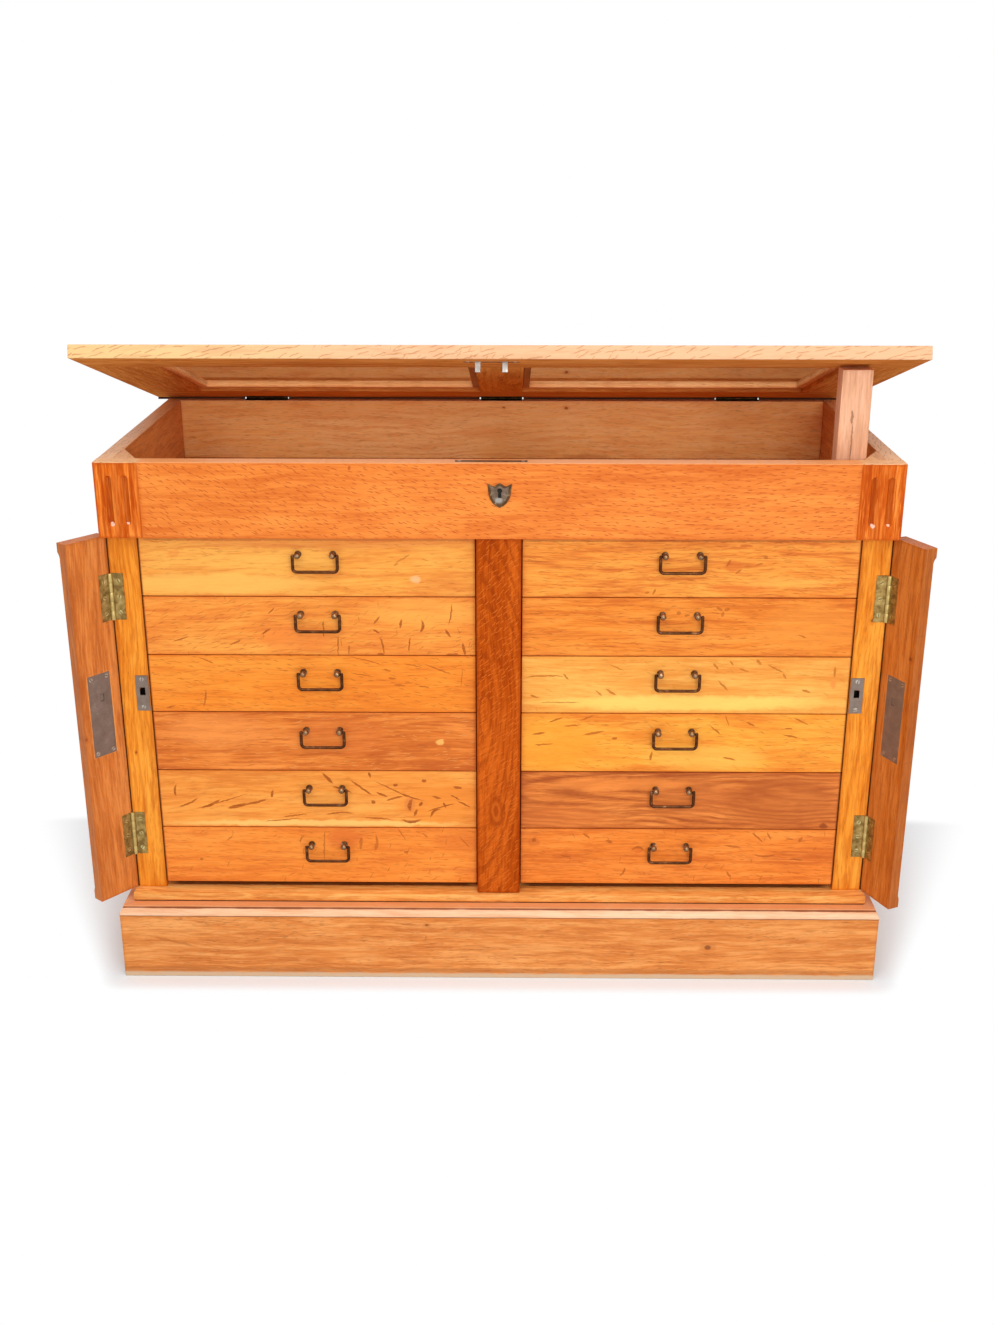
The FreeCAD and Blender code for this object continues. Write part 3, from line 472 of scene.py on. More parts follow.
back_oak = oak(
    "back_oak", (200, 122, 58), (220, 150, 88), (152, 84, 36), pith=(0, 50), tilt=0.04, ring=9, ringing=0.5,
    wander=40, streaks=0.5, pores=0.4, patches=0.5, rough=0.6
)
slashes = dict(cell=(9, 9), size=(22, 1.5), lean=48, spread=22, share=0.8, bend=1.0)
pilaster_oak = oak(
    "pilaster_oak", (184, 76, 4), (216, 102, 24), (150, 52, 0), speck=(138, 48, 0), ring_tone=(140, 48, 0),
    pith=(-34, 20), tilt=0.25, ring=9, ringing=0.5, wander=30, shine=0.05, streaks=0.45, pores=0.3,
    patches=0.7, dirt_and_shade=0.6, figures=((0.6, (226, 114, 38), slashes),
    (0.45, (140, 48, 0), slashes | dict(cell=(11, 12), share=0.6))),
    stains=((-156, -4, 34, 16, (144, 50, 0), 0.6), (-156, -4, 23, 10, (216, 104, 28), 0.6),
    (-156, -4, 11, 5, (160, 60, 4), 0.7))
)
worked("side_boards", "case_sides", side_oak, 0.3, along=2, solids=glued("case_sides", 1, 3))
worked("back_boards", "case_back", back_oak, 1.6, along=2, solids=glued("case_back", 0, 10))
worked("partition_board", "centre_partition", frame_oak, 1.0)
worked("pilaster_board", "centre_pilaster", pilaster_oak, 1.5)
worked("runner_strips", "drawer_runners", frame_oak, 0.6)

# Twelve drawers, each front cut from its own board, so that no two match: ray flecks,
# stains and old marks differ on each. Behind a front is a plain box. 1 is the top row.
flecks = dict(cell=(30, 22), size=(17, 2.0), lean=80, spread=70, share=0.4, bend=2.0)
hairs = dict(cell=(20, 7), size=(17, 1.4), lean=-6, spread=30, share=0.6)
brown = (160, 82, 24)
# Painted shadow of the display box's overhang along the top of the two top drawers.
overhang_shade = ((0, 50, 264, 9, (120, 66, 30), 0.4, -2, -1), (0, 52, 264, 4.5, (76, 38, 16), 0.65, -2, -1))
drawer_fronts = {
    "left_1": dict(
        main=(246, 160, 64), pale=(253, 184, 84), dark=(222, 124, 48), patches=0.8, streaks=0.5,
        figures=((0.35, brown, hairs | dict(share=0.3)),),
        stains=((-150, -28, 190, 20, (253, 190, 92), 0.7), (-206, 20, 13, 8, (232, 122, 48), 0.35),
                (168, -20, 10, 7, (250, 190, 132), 0.75), (30, 40, 260, 14, (228, 128, 62), 0.35)),
        cuts=overhang_shade,
        marks=((148, 13, 26, 32, 1.5), (138, 4, 8, 20, 2)), inked=0.45),
    "left_2": dict(
        main=(242, 144, 54), pale=(251, 170, 74), dark=(210, 104, 38), patches=0.7, streaks=0.45,
        figures=((0.45, brown, flecks | dict(share=0.2)), (0.45, brown, hairs | dict(lean=18))),
        stains=((170, 24, 110, 26, (250, 170, 74), 0.5), (-20, -20, 70, 24, (238, 128, 52), 0.5)),
        marks=((21, -5, 27, 90, 1.3), (43, -33, 32, 88, 1.2), (60, -40, 16, 88, 1.3),
               (105, 10, 15, 50, 2), (104, -8, 11, -30, 2), (113, -32, 27, -78, 1.8, 1.5),
               (143, 4, 14, 80, 2.2), (176, 0, 19, 82, 3, -1.5), (156, -30, 24, 85, 1.3, 0.8),
               (221, 20, 32, 82, 1.3, -1.5), (217, -11, 14, -55, 2.4), (242, -38, 20, -80, 2.4),
               (223, -47, 20, 4, 3), (110, -47, 10, 0, 3), (-70, -9, 17, 35, 1.8),
               (-120, -28, 20, 24, 1.4), (-205, -22, 24, 18, 1.2), (-60, 25, 14, 45, 1.2))),
    "left_3": dict(
        main=(243, 138, 38), pale=(251, 157, 56), dark=(218, 110, 28), patches=0.7, streaks=0.5,
        figures=((0.5, brown, hairs | dict(lean=-10)),),
        marks=((-174, -25, 29, 80, 1.6, -1), (-167, 39, 24, -25, 1.2), (86, 40, 55, -15, 1.2, 1),
               (161, 32, 28, -12, 1.5, 0.6), (200, 26, 46, -22, 1.2), (80, 16, 28, -8, 1.4),
               (127, 10, 12, -5, 2.2), (139, -2, 18, -3, 2), (178, -4, 16, -4, 1.8),
               (238, 10, 30, 84, 1.0), (120, 24, 12, -18, 2), (-230, -40, 16, 20, 1.6)), inked=0.6),
    "left_4": dict(
        main=(224, 122, 42), pale=(246, 148, 64), dark=(192, 90, 28), patches=0.8, streaks=0.6, ringing=0.3,
        stains=((201, 0, 8, 6, (252, 186, 98), 0.85), (173, -6, 11, 4, (186, 90, 28), 0.6),
                (176, -44, 13, 4, (186, 90, 28), 0.6), (216, -10, 6, 4, (190, 94, 30), 0.5),
                (40, 10, 90, 40, (216, 110, 46), 0.4), (-160, 20, 100, 34, (248, 152, 72), 0.5)),
        figures=((0.5, brown, hairs | dict(lean=0)), (0.5, (254, 178, 98), hairs | dict(lean=3, share=0.4)))),
    "left_5": dict(
        main=(245, 152, 60), pale=(253, 176, 84), dark=(214, 116, 40), speck=(152, 68, 6), patches=0.6,
        streaks=0.4,
        stains=((0, -44, 270, 7, (253, 196, 108), 0.9), (206, -4, 90, 44, (238, 134, 42), 0.45),
                (152, -9, 10, 16, (214, 120, 60), 0.5)),
        marks=((-234, 15, 20, 84, 2.4, 0.8), (-214, -8, 34, 26, 1.8, -1), (-178, -10, 34, 25, 2.6, -1),
               (-133, -13, 32, 14, 3.6), (-104, -6, 38, 13, 2.6, -0.6), (-75, 10, 13, 80, 2.6),
               (17, 38, 24, -50, 2.8), (40, 18, 32, -18, 2.2, 1), (72, 21, 42, -38, 2.0),
               (86, 44, 10, -75, 2.2), (105, 9, 19, -22, 2.2), (126, 2, 28, 15, 1.8, 0.8),
               (91, -5, 7, 20, 4), (152, -10, 22, 82, 4, 1), (160, -24, 12, 70, 3),
               (169, -8, 9, 50, 3), (192, -24, 22, 42, 2.4, 3), (195, 4, 14, -20, 2),
               (226, 4, 18, -30, 1.8), (240, -8, 24, -28, 1.6), (153, -38, 30, 0, 3, -2),
               (98, -35, 44, -4, 1.4, 1), (34, -26, 44, 3, 1.6, 2), (-40, -30, 40, 8, 1.2),
               (-60, -38, 60, 6, 1.0), (208, -10, 10, -70, 2), (175, 34, 8, 0, 3),
               (230, 22, 14, -10, 2.4), (128, 26, 6, 10, 3), (122, 18, 60, -28, 1.2, 1),
               (150, 6, 50, -20, 1.2, -1), (202, -14, 46, 18, 1.3, 1), (-160, -5, 84, 18, 1.1, -1)),
        inked=0.85),
    "left_6": dict(
        main=(244, 140, 48), pale=(253, 158, 66), dark=(214, 104, 34), patches=0.7, streaks=0.45,
        figures=((0.4, brown, flecks | dict(lean=60, share=0.35)), (0.4, brown, hairs)),
        stains=((40, 30, 34, 22, (226, 112, 44), 0.6), (230, 24, 50, 20, (222, 112, 38), 0.5)),
        marks=((93, 23, 28, 86, 2.8, -1.5), (68, 22, 22, 85, 3), (175, 38, 11, -40, 1.8),
               (136, 40, 22, -60, 1.4), (7, 18, 56, 87, 1.4, 0.6), (143, 6, 7, 0, 2.4),
               (-200, -9, 6, 80, 3), (240, 26, 26, -50, 1.4), (-30, 30, 16, 60, 1.4, 1),
               (-150, 30, 14, 40, 1.4)), inked=0.5),
    "right_1": dict(
        main=(244, 148, 54), pale=(252, 169, 70), dark=(208, 104, 34), patches=0.7, streaks=0.7,
        cuts=overhang_shade, figures=((0.45, brown, hairs | dict(lean=-2)),),
        stains=((65, 3, 16, 11, (214, 106, 36), 0.6), (85, 35, 11, 3.5, (206, 100, 32), 0.7),
                (80, -34, 60, 12, (232, 122, 44), 0.5), (150, -24, 80, 12, (252, 178, 80), 0.4)),
        marks=((-55, -39, 10, 70, 2), (115, 17, 7, 20, 3.4), (-66, -40, 8, 10, 2), (58, 8, 12, 60, 2),
               (74, -6, 12, 40, 2), (-240, 10, 40, -3, 1.4), (105, 6, 12, 20, 1.6)), inked=0.55),
    "right_2": dict(
        main=(235, 133, 40), pale=(250, 156, 62), dark=(204, 98, 28), patches=0.7, streaks=0.6,
        stains=((190, 0, 90, 50, (246, 152, 58), 0.5),),
        figures=((0.5, brown, hairs | dict(lean=-4)),),
        marks=((48, 31, 10, -30, 3), (60, 30, 10, 24, 3), (53, 22, 8, 80, 3), (-15, 24, 7, 0, 4),
               (-2, 20, 8, 0, 2), (-238, 22, 24, 3, 1.6), (180, -14, 12, -20, 1.6)), inked=0.5),
    "right_3": dict(
        main=(245, 168, 72), pale=(253, 194, 98), dark=(230, 136, 50), speck=(174, 92, 18), patches=0.8,
        streaks=0.45, figures=((0.4, (200, 124, 44), flecks | dict(lean=-35, spread=30, share=0.25)),),
        stains=((0, -30, 270, 15, (255, 212, 106), 0.75), (236, 2, 6, 8, (238, 140, 62), 0.7)),
        marks=((-224, 14, 62, 2, 1.6, 2), (-190, 14, 12, -50, 1.8), (-118, -12, 20, -35, 2.2),
               (-137, -14, 14, -40, 1.6), (47, 33, 13, -50, 2), (72, 38, 9, -55, 2),
               (115, 40, 11, -45, 2.6), (142, 29, 28, -25, 1.8), (157, 16, 11, -60, 2.2),
               (60, 0, 24, -45, 1.8), (193, -9, 15, -15, 2.2), (236, 24, 18, 88, 2.4),
               (-200, -30, 60, 0, 1.2), (-240, -20, 14, -20, 2), (-110, 30, 24, -25, 1.4),
               (92, 26, 18, -20, 1.4)), inked=0.7),
    "right_4": dict(
        main=(248, 164, 54), pale=(254, 188, 78), dark=(230, 126, 36), speck=(172, 88, 18), patches=1.0,
        streaks=0.4,
        figures=((0.35, brown, flecks | dict(lean=-30, spread=40, share=0.25)),
                 (0.4, brown, hairs | dict(lean=-4))),
        stains=((-210, -6, 80, 50, (248, 156, 40), 0.6), (40, -26, 110, 26, (253, 188, 82), 0.5)),
        marks=((-144, 17, 32, 12, 2.4), (-179, 30, 24, 5, 1.8), (-154, 44, 26, 25, 1.6),
               (-205, 40, 24, 22, 1.8), (-224, -3, 28, 5, 1.6), (-50, -23, 16, 80, 2.2),
               (52, 23, 22, -40, 1.8), (108, 34, 15, -25, 2), (189, 39, 26, -25, 1.8),
               (77, -27, 20, -12, 1.8), (174, 13, 22, -12, 1.8), (-232, 16, 20, 10, 2),
               (170, 26, 12, 0, 1.6), (70, 40, 20, -70, 1.2), (-110, 8, 8, 0, 3)), inked=0.8),
    "right_5": dict(
        main=(214, 117, 46), pale=(244, 148, 68), dark=(168, 76, 24), speck=(134, 54, 14), patches=0.8,
        streaks=0.55, ringing=0.7, ring=7, ring_tone=(158, 70, 22), pith=(16, -12), tilt=0.07, wander=34,
        stains=((170, -3, 110, 60, (184, 92, 34), 0.6), (20, 10, 80, 40, (208, 112, 48), 0.5),
                (240, -44, 9, 6, (140, 58, 16), 0.8), (-200, -30, 90, 24, (212, 112, 46), 0.5),
                (-90, 30, 130, 14, (246, 144, 62), 0.6))),
    "right_6": dict(
        main=(240, 132, 44), pale=(252, 154, 66), dark=(204, 96, 28), patches=0.7, streaks=0.5,
        figures=((0.4, brown, flecks | dict(share=0.35)), (0.4, brown, hairs)),
        stains=((-240, 26, 14, 10, (206, 100, 34), 0.6), (-66, 12, 11, 6, (216, 100, 30), 0.5)),
        marks=((-151, 38, 14, -40, 2.2), (-114, 28, 11, -15, 3), (-66, 14, 20, 0, 2.6, 3),
               (-186, 0, 16, -10, 2), (-90, -29, 18, 60, 2, -2), (-238, 30, 8, 60, 4),
               (131, 37, 24, -42, 2), (91, 20, 26, -8, 2.2), (203, 33, 10, 60, 3.4),
               (145, 4, 36, 0, 1.8, -3), (198, -4, 24, -5, 2), (87, -32, 12, -55, 2.4),
               (185, 34, 12, 0, 1.6), (150, 40, 16, -60, 1.4)), inked=0.6),
}
inner_oak = oak(
    "inner_oak", (216, 148, 78), (234, 176, 108), (176, 106, 48), streaks=0.5, pores=0.3, patches=0.4,
    rough=0.6
)
for label, tones in drawer_fronts.items():
    # Its outer end, next to the post, gets a dark line: painted shade in the gap there.
    shaded_end = -1 if label.startswith("left") else 1
    front_oak = oak("front_oak_" + label, joint=shaded_end, **(dict(ringing=0.15, pores=0.35, ring=5) | tones))
    node = "drawer_" + label
    worked("front_" + label, node, front_oak, 1.0, pick=(0,))
    worked("drawer_box_" + label, node, inner_oak, 0.8, pick=(1, 2, 3, 4))


# Handles: two turned ball studs on each drawer with a square bail of round rod between them. The bronze of
# the bails is dark, and the balls are rubbed bright.
def metal(name, main, tarnish, bright, tarnished=0.6, rough=0.38, size=120, shine=1.0, painted_light=None):
    """Metal with tarnish in soft clouds, and a painted highlight: a round spot on each side."""
    material, tree, shader = new_material(name)
    spot = Tone(tree).node("TexCoord", None, None, 3)
    cloudy = spot.cloud((size, size, size), 4.0, 0.6)
    fine = spot.cloud((size * 8, size * 8, size * 8), 2.0)
    tint = (cloudy.step(0.42, 0.66) * tarnished).blend(main, tarnish)
    tint = (cloudy.step(0.44, 0.28) * 0.7).blend(tint, bright)
    # The painted highlight: a spot or band painted paler, as light would show on a dome or a knuckle.
    if painted_light:
        x, axis, level, reach, soft, tone = painted_light
        out, up = spot.part(0).size() - x / 1000, spot.part(axis) - level / 1000
        near = 1 - (out * out + up * up).step((reach * soft / 1000) ** 2, (reach / 1000) ** 2)
        tint = (near * 0.8).blend(tint, tone)
    bump = fine.node("Bump", None, {"Strength": 0.15, "Distance": 0.0003, "Height": fine + cloudy})
    gloss = rough - 0.08 + cloudy * 0.25 + fine * 0.1
    tree.links.new(tint.socket, shader.inputs["Base Color"])
    tree.links.new(gloss.socket, shader.inputs["Roughness"])
    tree.links.new(bump.socket, shader.inputs["Normal"])
    shader.inputs["Metallic"].default_value = shine
    return material


bronze = metal("bronze", (96, 58, 34), (54, 32, 20), (150, 104, 70), rough=0.34)
ball_bronze = metal("ball_bronze", (150, 116, 84), (96, 66, 42), (214, 182, 146), rough=0.26)
for label in drawer_fronts:
    worked("studs_" + label, "drawer_" + label, ball_bronze, 0.2, pick=(5, 6))
    worked("bail_rod_" + label, "bail_" + label, bronze, 0, swell=0.35)

# The display box: a bright orange front board between two fluted corner blocks, boards
# for ends and back, a floor, and a triangular gusset let into each front corner.
slants = dict(cell=(15, 7), size=(14, 1.5), lean=-12, spread=16, share=0.95, drift=34)
# The front board's top edge is painted pale as painted light; its darkened ends are partly painted shade
# beside the proud blocks.
front_board_oak = oak(
    "front_board_oak", (231, 126, 46), (248, 148, 62), (214, 103, 30), speck=(186, 78, 20), pith=(50, 300),
    ringing=0.1, streaks=0.5, pores=0.3, patches=0.8, dirt_and_shade=0.5, figures=((0.75, (186, 78, 20), slants),),
    rim=(246, 170, 108), rim_lines=(232, 146, 84), marks=((-224, 51, 4, 0, 4),)
)
# The blocks are painted darker inside their flutes and along their edges, as painted shade, and paler on
# their top ends, as painted light.
flute_shade = [(0, x, 42, 5.6, (150, 60, 8), 0.45, 0.4, 3.4) for x in (-12.6, 12.6)]
block_oak = oak(
    "block_oak", (225, 108, 24), (250, 146, 60), (186, 72, 4), pith=(0, 80), ring=4, ringing=0.6, wander=8,
    streaks=1.0, pores=0.3, patches=0.4, dirt_and_shade=0.6, cuts=flute_shade, rim=(246, 190, 134), rim_axis=0, shine=0.08,
    stains=((-37, 12.6, 2.6, 3.2, (252, 208, 184), 0.9), (-37, -12.6, 2.6, 3.2, (252, 208, 184), 0.9))
)
# The top edges of the box ends are painted pale as painted light.
box_oak = oak(
    "box_oak", (219, 136, 68), (234, 156, 88), (186, 105, 46), speck=(140, 76, 34), pith=(40, 70), tilt=0.01,
    ring=7, wander=40, pores=0.4, dirt_and_shade=0.3, figures=((0.3, brown, hairs | dict(lean=0)),),
    rim=(252, 198, 146)
)
# The box back is painted paler than its oak, as painted light under the lid, except on its outer face; its
# top edge is painted pale as painted light too.
box_back_oak = oak(
    "box_back_oak", (255, 192, 112), (255, 204, 138), (240, 160, 88), speck=(160, 92, 44), pith=(40, 70),
    tilt=0.01, ring=7, wander=40, pores=0.4, patches=0.7, dirt_and_shade=0.4,
    figures=((0.3, brown, hairs | dict(lean=0)),), rim=(246, 184, 130), knots=((4, 47, 2.4), (118, 46, 3)),
    stains=((160, -50, 60, 14, (206, 122, 60), 0.6),), cuts=((0, 0, 660, 90, (214, 132, 64), 0.75, 12, 18),)
)
floor_oak = oak("floor_oak", (204, 122, 60), (222, 146, 82), (164, 90, 40), patches=0.5, rough=0.6)
gusset_oak = oak("gusset_oak", (246, 184, 122), (253, 204, 146), (214, 138, 80), patches=0.4)
worked("box_front_board", "box_front", front_board_oak, 1.2)
worked("fluted_blocks", "corner_blocks", block_oak, 0.7)
worked("box_end_boards", "box_ends", box_oak, 1.2)
worked("box_back_board", "box_back", box_back_oak, 1.2)
floor_boards = glued("box_floor", 0, 4)
worked("box_floor_boards", "box_floor", floor_oak, 0.5, along=1, solids=floor_boards)
worked("gussets", "corner_gussets", gusset_oak, 0.5)

# Lock work: the lid lock let into the rim, steel plates in the flaps with their bolts,
# and strike plates on the posts. The keyhole has a shield of dark bronze cut from sheet.
key_x = 1.5
key_level = 829.6
box_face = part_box("box_front")[0][1] * 1000
# A painted highlight under the keyhole stands for the shine of the domed plate.
shield_bronze = metal(
    "shield_bronze", (124, 104, 88), (92, 72, 54), (170, 156, 140), size=150, rough=0.36,
    painted_light=(key_x, 2, key_level - 8.1, 5.5, 0.1, (172, 166, 158))
)
shield_edge = metal("shield_edge", (104, 76, 52), (70, 48, 30), (190, 168, 130), size=150, rough=0.3)
lock_steel = metal(
    "lock_steel", (146, 130, 120), (132, 112, 98), (162, 150, 140), tarnished=0.5, size=60, rough=0.5
)
dark_steel = metal("dark_steel", (84, 62, 50), (52, 38, 30), (120, 98, 84), size=60, rough=0.5)
bright_steel = metal(
    "bright_steel", (178, 174, 168), (128, 122, 114), (226, 224, 220), tarnished=0.4, rough=0.28
)
# Near black for the keyhole and the screw slots, as painted shade, and for a thin line round the keyhole's
# shield.
shade_and_outline_black = metal("shade_and_outline_black", (26, 20, 16), (12, 9, 7), (44, 34, 26), shine=0.0, rough=0.8)
worked("lid_lock_plate", "lid_lock", dark_steel, 0.2)
worked("strikes", "strike_plates", lock_steel, 0.2)
shield = [(0, 17.6), (3.4, 16.0), (6.2, 13.8), (8.8, 12.8), (11.6, 13.2), (14.6, 15.0), (17.8, 16.2)]
shield += [(17.0, 11.4), (16.4, 6.0), (15.8, 0.0), (13.8, -6.4), (10.2, -12.0), (5.6, -16.2), (0, -19.0)]
shield += [(-x, z) for x, z in reversed(shield[1:-1])]
bore, bore_rise = 4.1, 6.6
turns = [math.radians(turn) for turn in range(-50, 231, 20)]
hole = [(bore * math.cos(turn), bore_rise + bore * math.sin(turn)) for turn in turns]
hole += [(-3.2, -5.0), (3.2, -5.0)]


def cut_plate(name, outlines, out, thick, edge, finish):
    """A plate cut from sheet to outlines round the keyhole, its middle this far out, its edges filed."""
    sheet = bpy.data.curves.new(name, "CURVE")
    sheet.dimensions = "2D"
    sheet.fill_mode = "BOTH"
    sheet.extrude = thick / 2000 - edge / 1000
    sheet.bevel_depth = edge / 1000
    sheet.bevel_resolution = 2
    for outline in outlines:
        line = sheet.splines.new("POLY")
        line.points.add(len(outline) - 1)
        for spot, (x, z) in zip(line.points, outline):
            spot.co = (x / 1000, z / 1000, 0, 1)
        line.use_cyclic_u = True
    flat = bpy.data.objects.new(name + "_flat", sheet)
    bpy.context.scene.collection.objects.link(flat)
    mesh = bpy.data.meshes.new_from_object(flat.evaluated_get(bpy.context.evaluated_depsgraph_get()))
    bpy.data.objects.remove(flat)
    middle = Vector((key_x, box_face - out, key_level)) / 1000
    mesh.transform(Matrix.Translation(middle) @ Matrix.Rotation(math.radians(90), 4, "X"))
    solid = bmesh.new()
    solid.from_mesh(mesh)
    bmesh.ops.remove_doubles(solid, verts=solid.verts, dist=0.00001)
    bmesh.ops.recalc_face_normals(solid, faces=solid.faces)
    solid.to_mesh(mesh)
    solid.free()
    mesh.materials.clear()
    mesh.materials.append(finish)
    fit(name, mesh, "cabinet", "escutcheon")


cut_plate("key_shield", [shield, hole], 0.8, 1.4, 0.4, shield_bronze)
inset = [(x * 0.84, z * 0.84 + 0.4) for x, z in shield]
cut_plate("key_rim", [shield, inset], 1.3, 1.4, 0.65, shield_edge)
# Behind the shield a black plate: painted shade in the keyhole, and a thin dark line round the shield.
cut_plate("key_back", [[(x * 1.03, z * 1.03) for x, z in shield]], 0.25, 0.4, 0.05, shade_and_outline_black)

# Brass butt hinges, gone olive with age, with a painted highlight along the knuckles. Two carry each flap on
# its post and three carry the lid; those of the lid and their screws, in the shade under it, are a darker
# brass as painted shade. A pin lies in the middle of each narrow joint.
joints = {joint["name"]: joint for joint in frame["joints"]}
pin_x, pin_y = [place * 1000 for place in joints["hinge_flap_right"]["pos_m"][:2]]
hinge_levels = (247.5, 659.5)
hinge_middle = 593.5
lid_hinges = (-430, 0, 430)
lid_hinge_middle = 256.8
hinge_half = 38.0
half_joint = 0.5
screw_steps = (-26, 0, 26)
brass = metal(
    "brass", (172, 144, 86), (118, 92, 48), (206, 184, 126), tarnished=0.8, size=110, rough=0.36,
    painted_light=(pin_x, 1, pin_y, 4.6, 0.8, (250, 226, 150))
)
brass_in_shade = metal("brass_in_shade", (70, 52, 30), (38, 26, 16), (120, 96, 62), tarnished=0.8, size=110, rough=0.5)
worked("post_hinges", "post_hinge_leaves", brass, 0.2)
worked("box_hinges", "box_hinge_leaves", brass_in_shade, 0.2)

# The two locking flaps: red-brown oak pilasters with two stopped flutes and a small
# cornice on the outer face, here swung open so that the inner face shows.
flap_curls = dict(cell=(16, 9), size=(12, 1.4), lean=50, spread=60, share=0.5, bend=3.0)
# The right flap's oak is darker than the left's, as painted shade on the face turned from the light; each has
# its own figure and knots.
flap_oaks = {
    "left": oak(
        "flap_oak_left", (213, 120, 48), (230, 144, 72), (176, 90, 32), speck=(150, 70, 22), pith=(30, 90),
        tilt=0.015, pores=0.4, patches=0.7, dirt_and_shade=0.4,
        figures=((0.35, (240, 166, 112), flap_curls), (0.3, (150, 70, 22), flap_curls)),
        knots=((-15, 34, 2.4),), cuts=((17.5, 0.9, 71.5, 23, (236, 156, 84), 0.8, 14, 16),)
    ),
    "right": oak(
        "flap_oak_right", (196, 103, 30), (214, 126, 54), (164, 78, 18), speck=(120, 52, 12), pith=(30, 90),
        tilt=0.015, pores=0.4, patches=0.7, dirt_and_shade=0.4,
        figures=((0.3, (228, 146, 84), flap_curls), (0.35, (120, 52, 12), flap_curls)),
        knots=((128, -28, 3.2), (60, -20, 2)), cuts=((17.5, -0.9, 71.0, 22.4, (218, 132, 62), 0.8, 14, 16),)
    ),
}
for side in flap_oaks:
    joint = joints["hinge_flap_" + side]
    closed = Matrix.Rotation(math.radians(joint["range_deg"][0]), 3, Vector(joint["axis"]))
    worked("flap_board_" + side, "flap_" + side, flap_oaks[side], 0.8, turn=closed)
    worked("flap_hinges_" + side, "flap_hinge_leaves_" + side, brass, 0.2, turn=closed)
    worked("flap_lock_plate_" + side, "flap_lock_" + side, lock_steel, 0.2, turn=closed)
    worked("flap_bolt_end_" + side, "flap_bolt_" + side, lock_steel, 0.4, turn=closed)

# A thin round bead of dark wood is glued down each post on the hinge line, above, between and below the
# hinges. It fills the joint beside the flap with dark, as painted shade where that joint is in shade.
joint_shade_oak = oak(
    "joint_shade_oak", (74, 36, 14), (94, 50, 22), (46, 20, 8), speck=(30, 14, 4), dirt_and_shade=0, shine=0.05, rough=0.8
)
bead_radius = 0.98
tucked = hinge_half - 1.5
post_foot, post_top = [corner[2] * 1000 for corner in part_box("front_posts")]
bead_ends = [level + way * tucked for level in hinge_levels for way in (-1, 1)]
bead_ends = [post_foot + 2.3, *bead_ends, post_top - 2.3]
joint_beads = []
for side in (-1, 1):
    turns = [math.radians(turn) for turn in range(0, 360, 30)]
    outline = [(math.cos(turn) * bead_radius, math.sin(turn) * bead_radius) for turn in turns]
    outline = [(side * pin_x + x, pin_y + y) for x, y in outline]
    for z0, z1 in zip(bead_ends[::2], bead_ends[1::2]):
        foot, top = [[(x / 1000, y / 1000, z / 1000) for x, y in outline] for z in (z0, z1)]
        sides = [[foot[i - 1], foot[i], top[i], top[i - 1]] for i in range(len(foot))]
        joint_beads.append(sides + [foot[::-1], top])
worked("joint_beads", "front_posts", joint_shade_oak, 0, solids=joint_beads)

# The lid: an oak frame with a flat bar across its middle, two panes held from below by beads, hinged behind.
# Its front edge is painted pale as painted light. The beads are painted pale as painted light, those beside
# the bar darker as painted shade.
lid_angle = math.radians(16.0)
lid_pin = Vector(joints["hinge_lid"]["pos_m"])
shut = Matrix.Rotation(lid_angle, 3, "X")
opened = Matrix.Translation(lid_pin) @ Matrix.Rotation(-lid_angle, 4, "X") @ Matrix.Translation(-lid_pin)
lid_look = dict(
    shine=0.0, main=(211, 132, 60), pale=(230, 156, 84), dark=(180, 98, 42), pith=(30, 60), tilt=0.01, ring=7,
    ringing=0.4, wander=50, pores=0.4, patches=0.5, dirt_and_shade=0.2
)
rail_oak = oak("rail_oak", rim=(236, 186, 144), rim_side=-1, rim_left=(240, 198, 138), **lid_look)
lid_oak = oak("lid_oak", **lid_look)
bar_oak = oak("bar_oak", **(lid_look | dict(main=(219, 144, 63), pale=(238, 168, 88), dark=(188, 109, 44))))
painted_light_bead_oak = oak(
    "painted_light_bead_oak", (242, 168, 104), (252, 190, 130), (206, 128, 66), ringing=0.2, patches=0.3, dirt_and_shade=0.1
)
painted_shade_bead_oak = oak("painted_shade_bead_oak", (170, 97, 44), (190, 114, 56), (128, 68, 28), ringing=0.2, patches=0.3)
worked("lid_front_rail", "lid_frame", rail_oak, 1.2, pick=(0,), turn=shut)
worked("lid_frame_boards", "lid_frame", lid_oak, 1.2, pick=(1, 2, 3), turn=shut)
worked("lid_bar", "lid_frame", bar_oak, 1.2, pick=(4,), turn=shut)
worked("glass_beads", "lid_beads", painted_light_bead_oak, 1.2, pick=(0, 1, 2, 4, 5, 7), turn=shut)
worked("bar_beads", "lid_beads", painted_shade_bead_oak, 1.2, pick=(3, 6), turn=shut)
worked("lid_hinges", "lid_hinge_leaves", brass_in_shade, 0.2, turn=shut)
worked("link_plate_prongs", "link_plate", bright_steel, 0.3, turn=shut)
pane, pane_tree, pane_shader = new_material("window_glass")
grazing = Tone(pane_tree).node("LayerWeight", None, {"Blend": 0.5}, 1)
spot = Tone(pane_tree).node("TexCoord", None, None, 3)
dust = spot.cloud((14, 14, 14), 4.0, 0.65).step(0.45, 0.75)
mirror = grazing.step(0.42, 0.93) * 0.92 + 0.06 + dust * 0.02
pane_tree.links.new(mirror.socket, pane_shader.inputs["Alpha"])
pane_tree.links.new((0.02 + dust * 0.05).socket, pane_shader.inputs["Roughness"])
pane_shader.inputs["Base Color"].default_value = (0.74, 0.77, 0.75, 1)
pane_shader.inputs["Metallic"].default_value = 1.0
worked("lid_panes", "lid_glass", pane, 0.3, turn=shut)

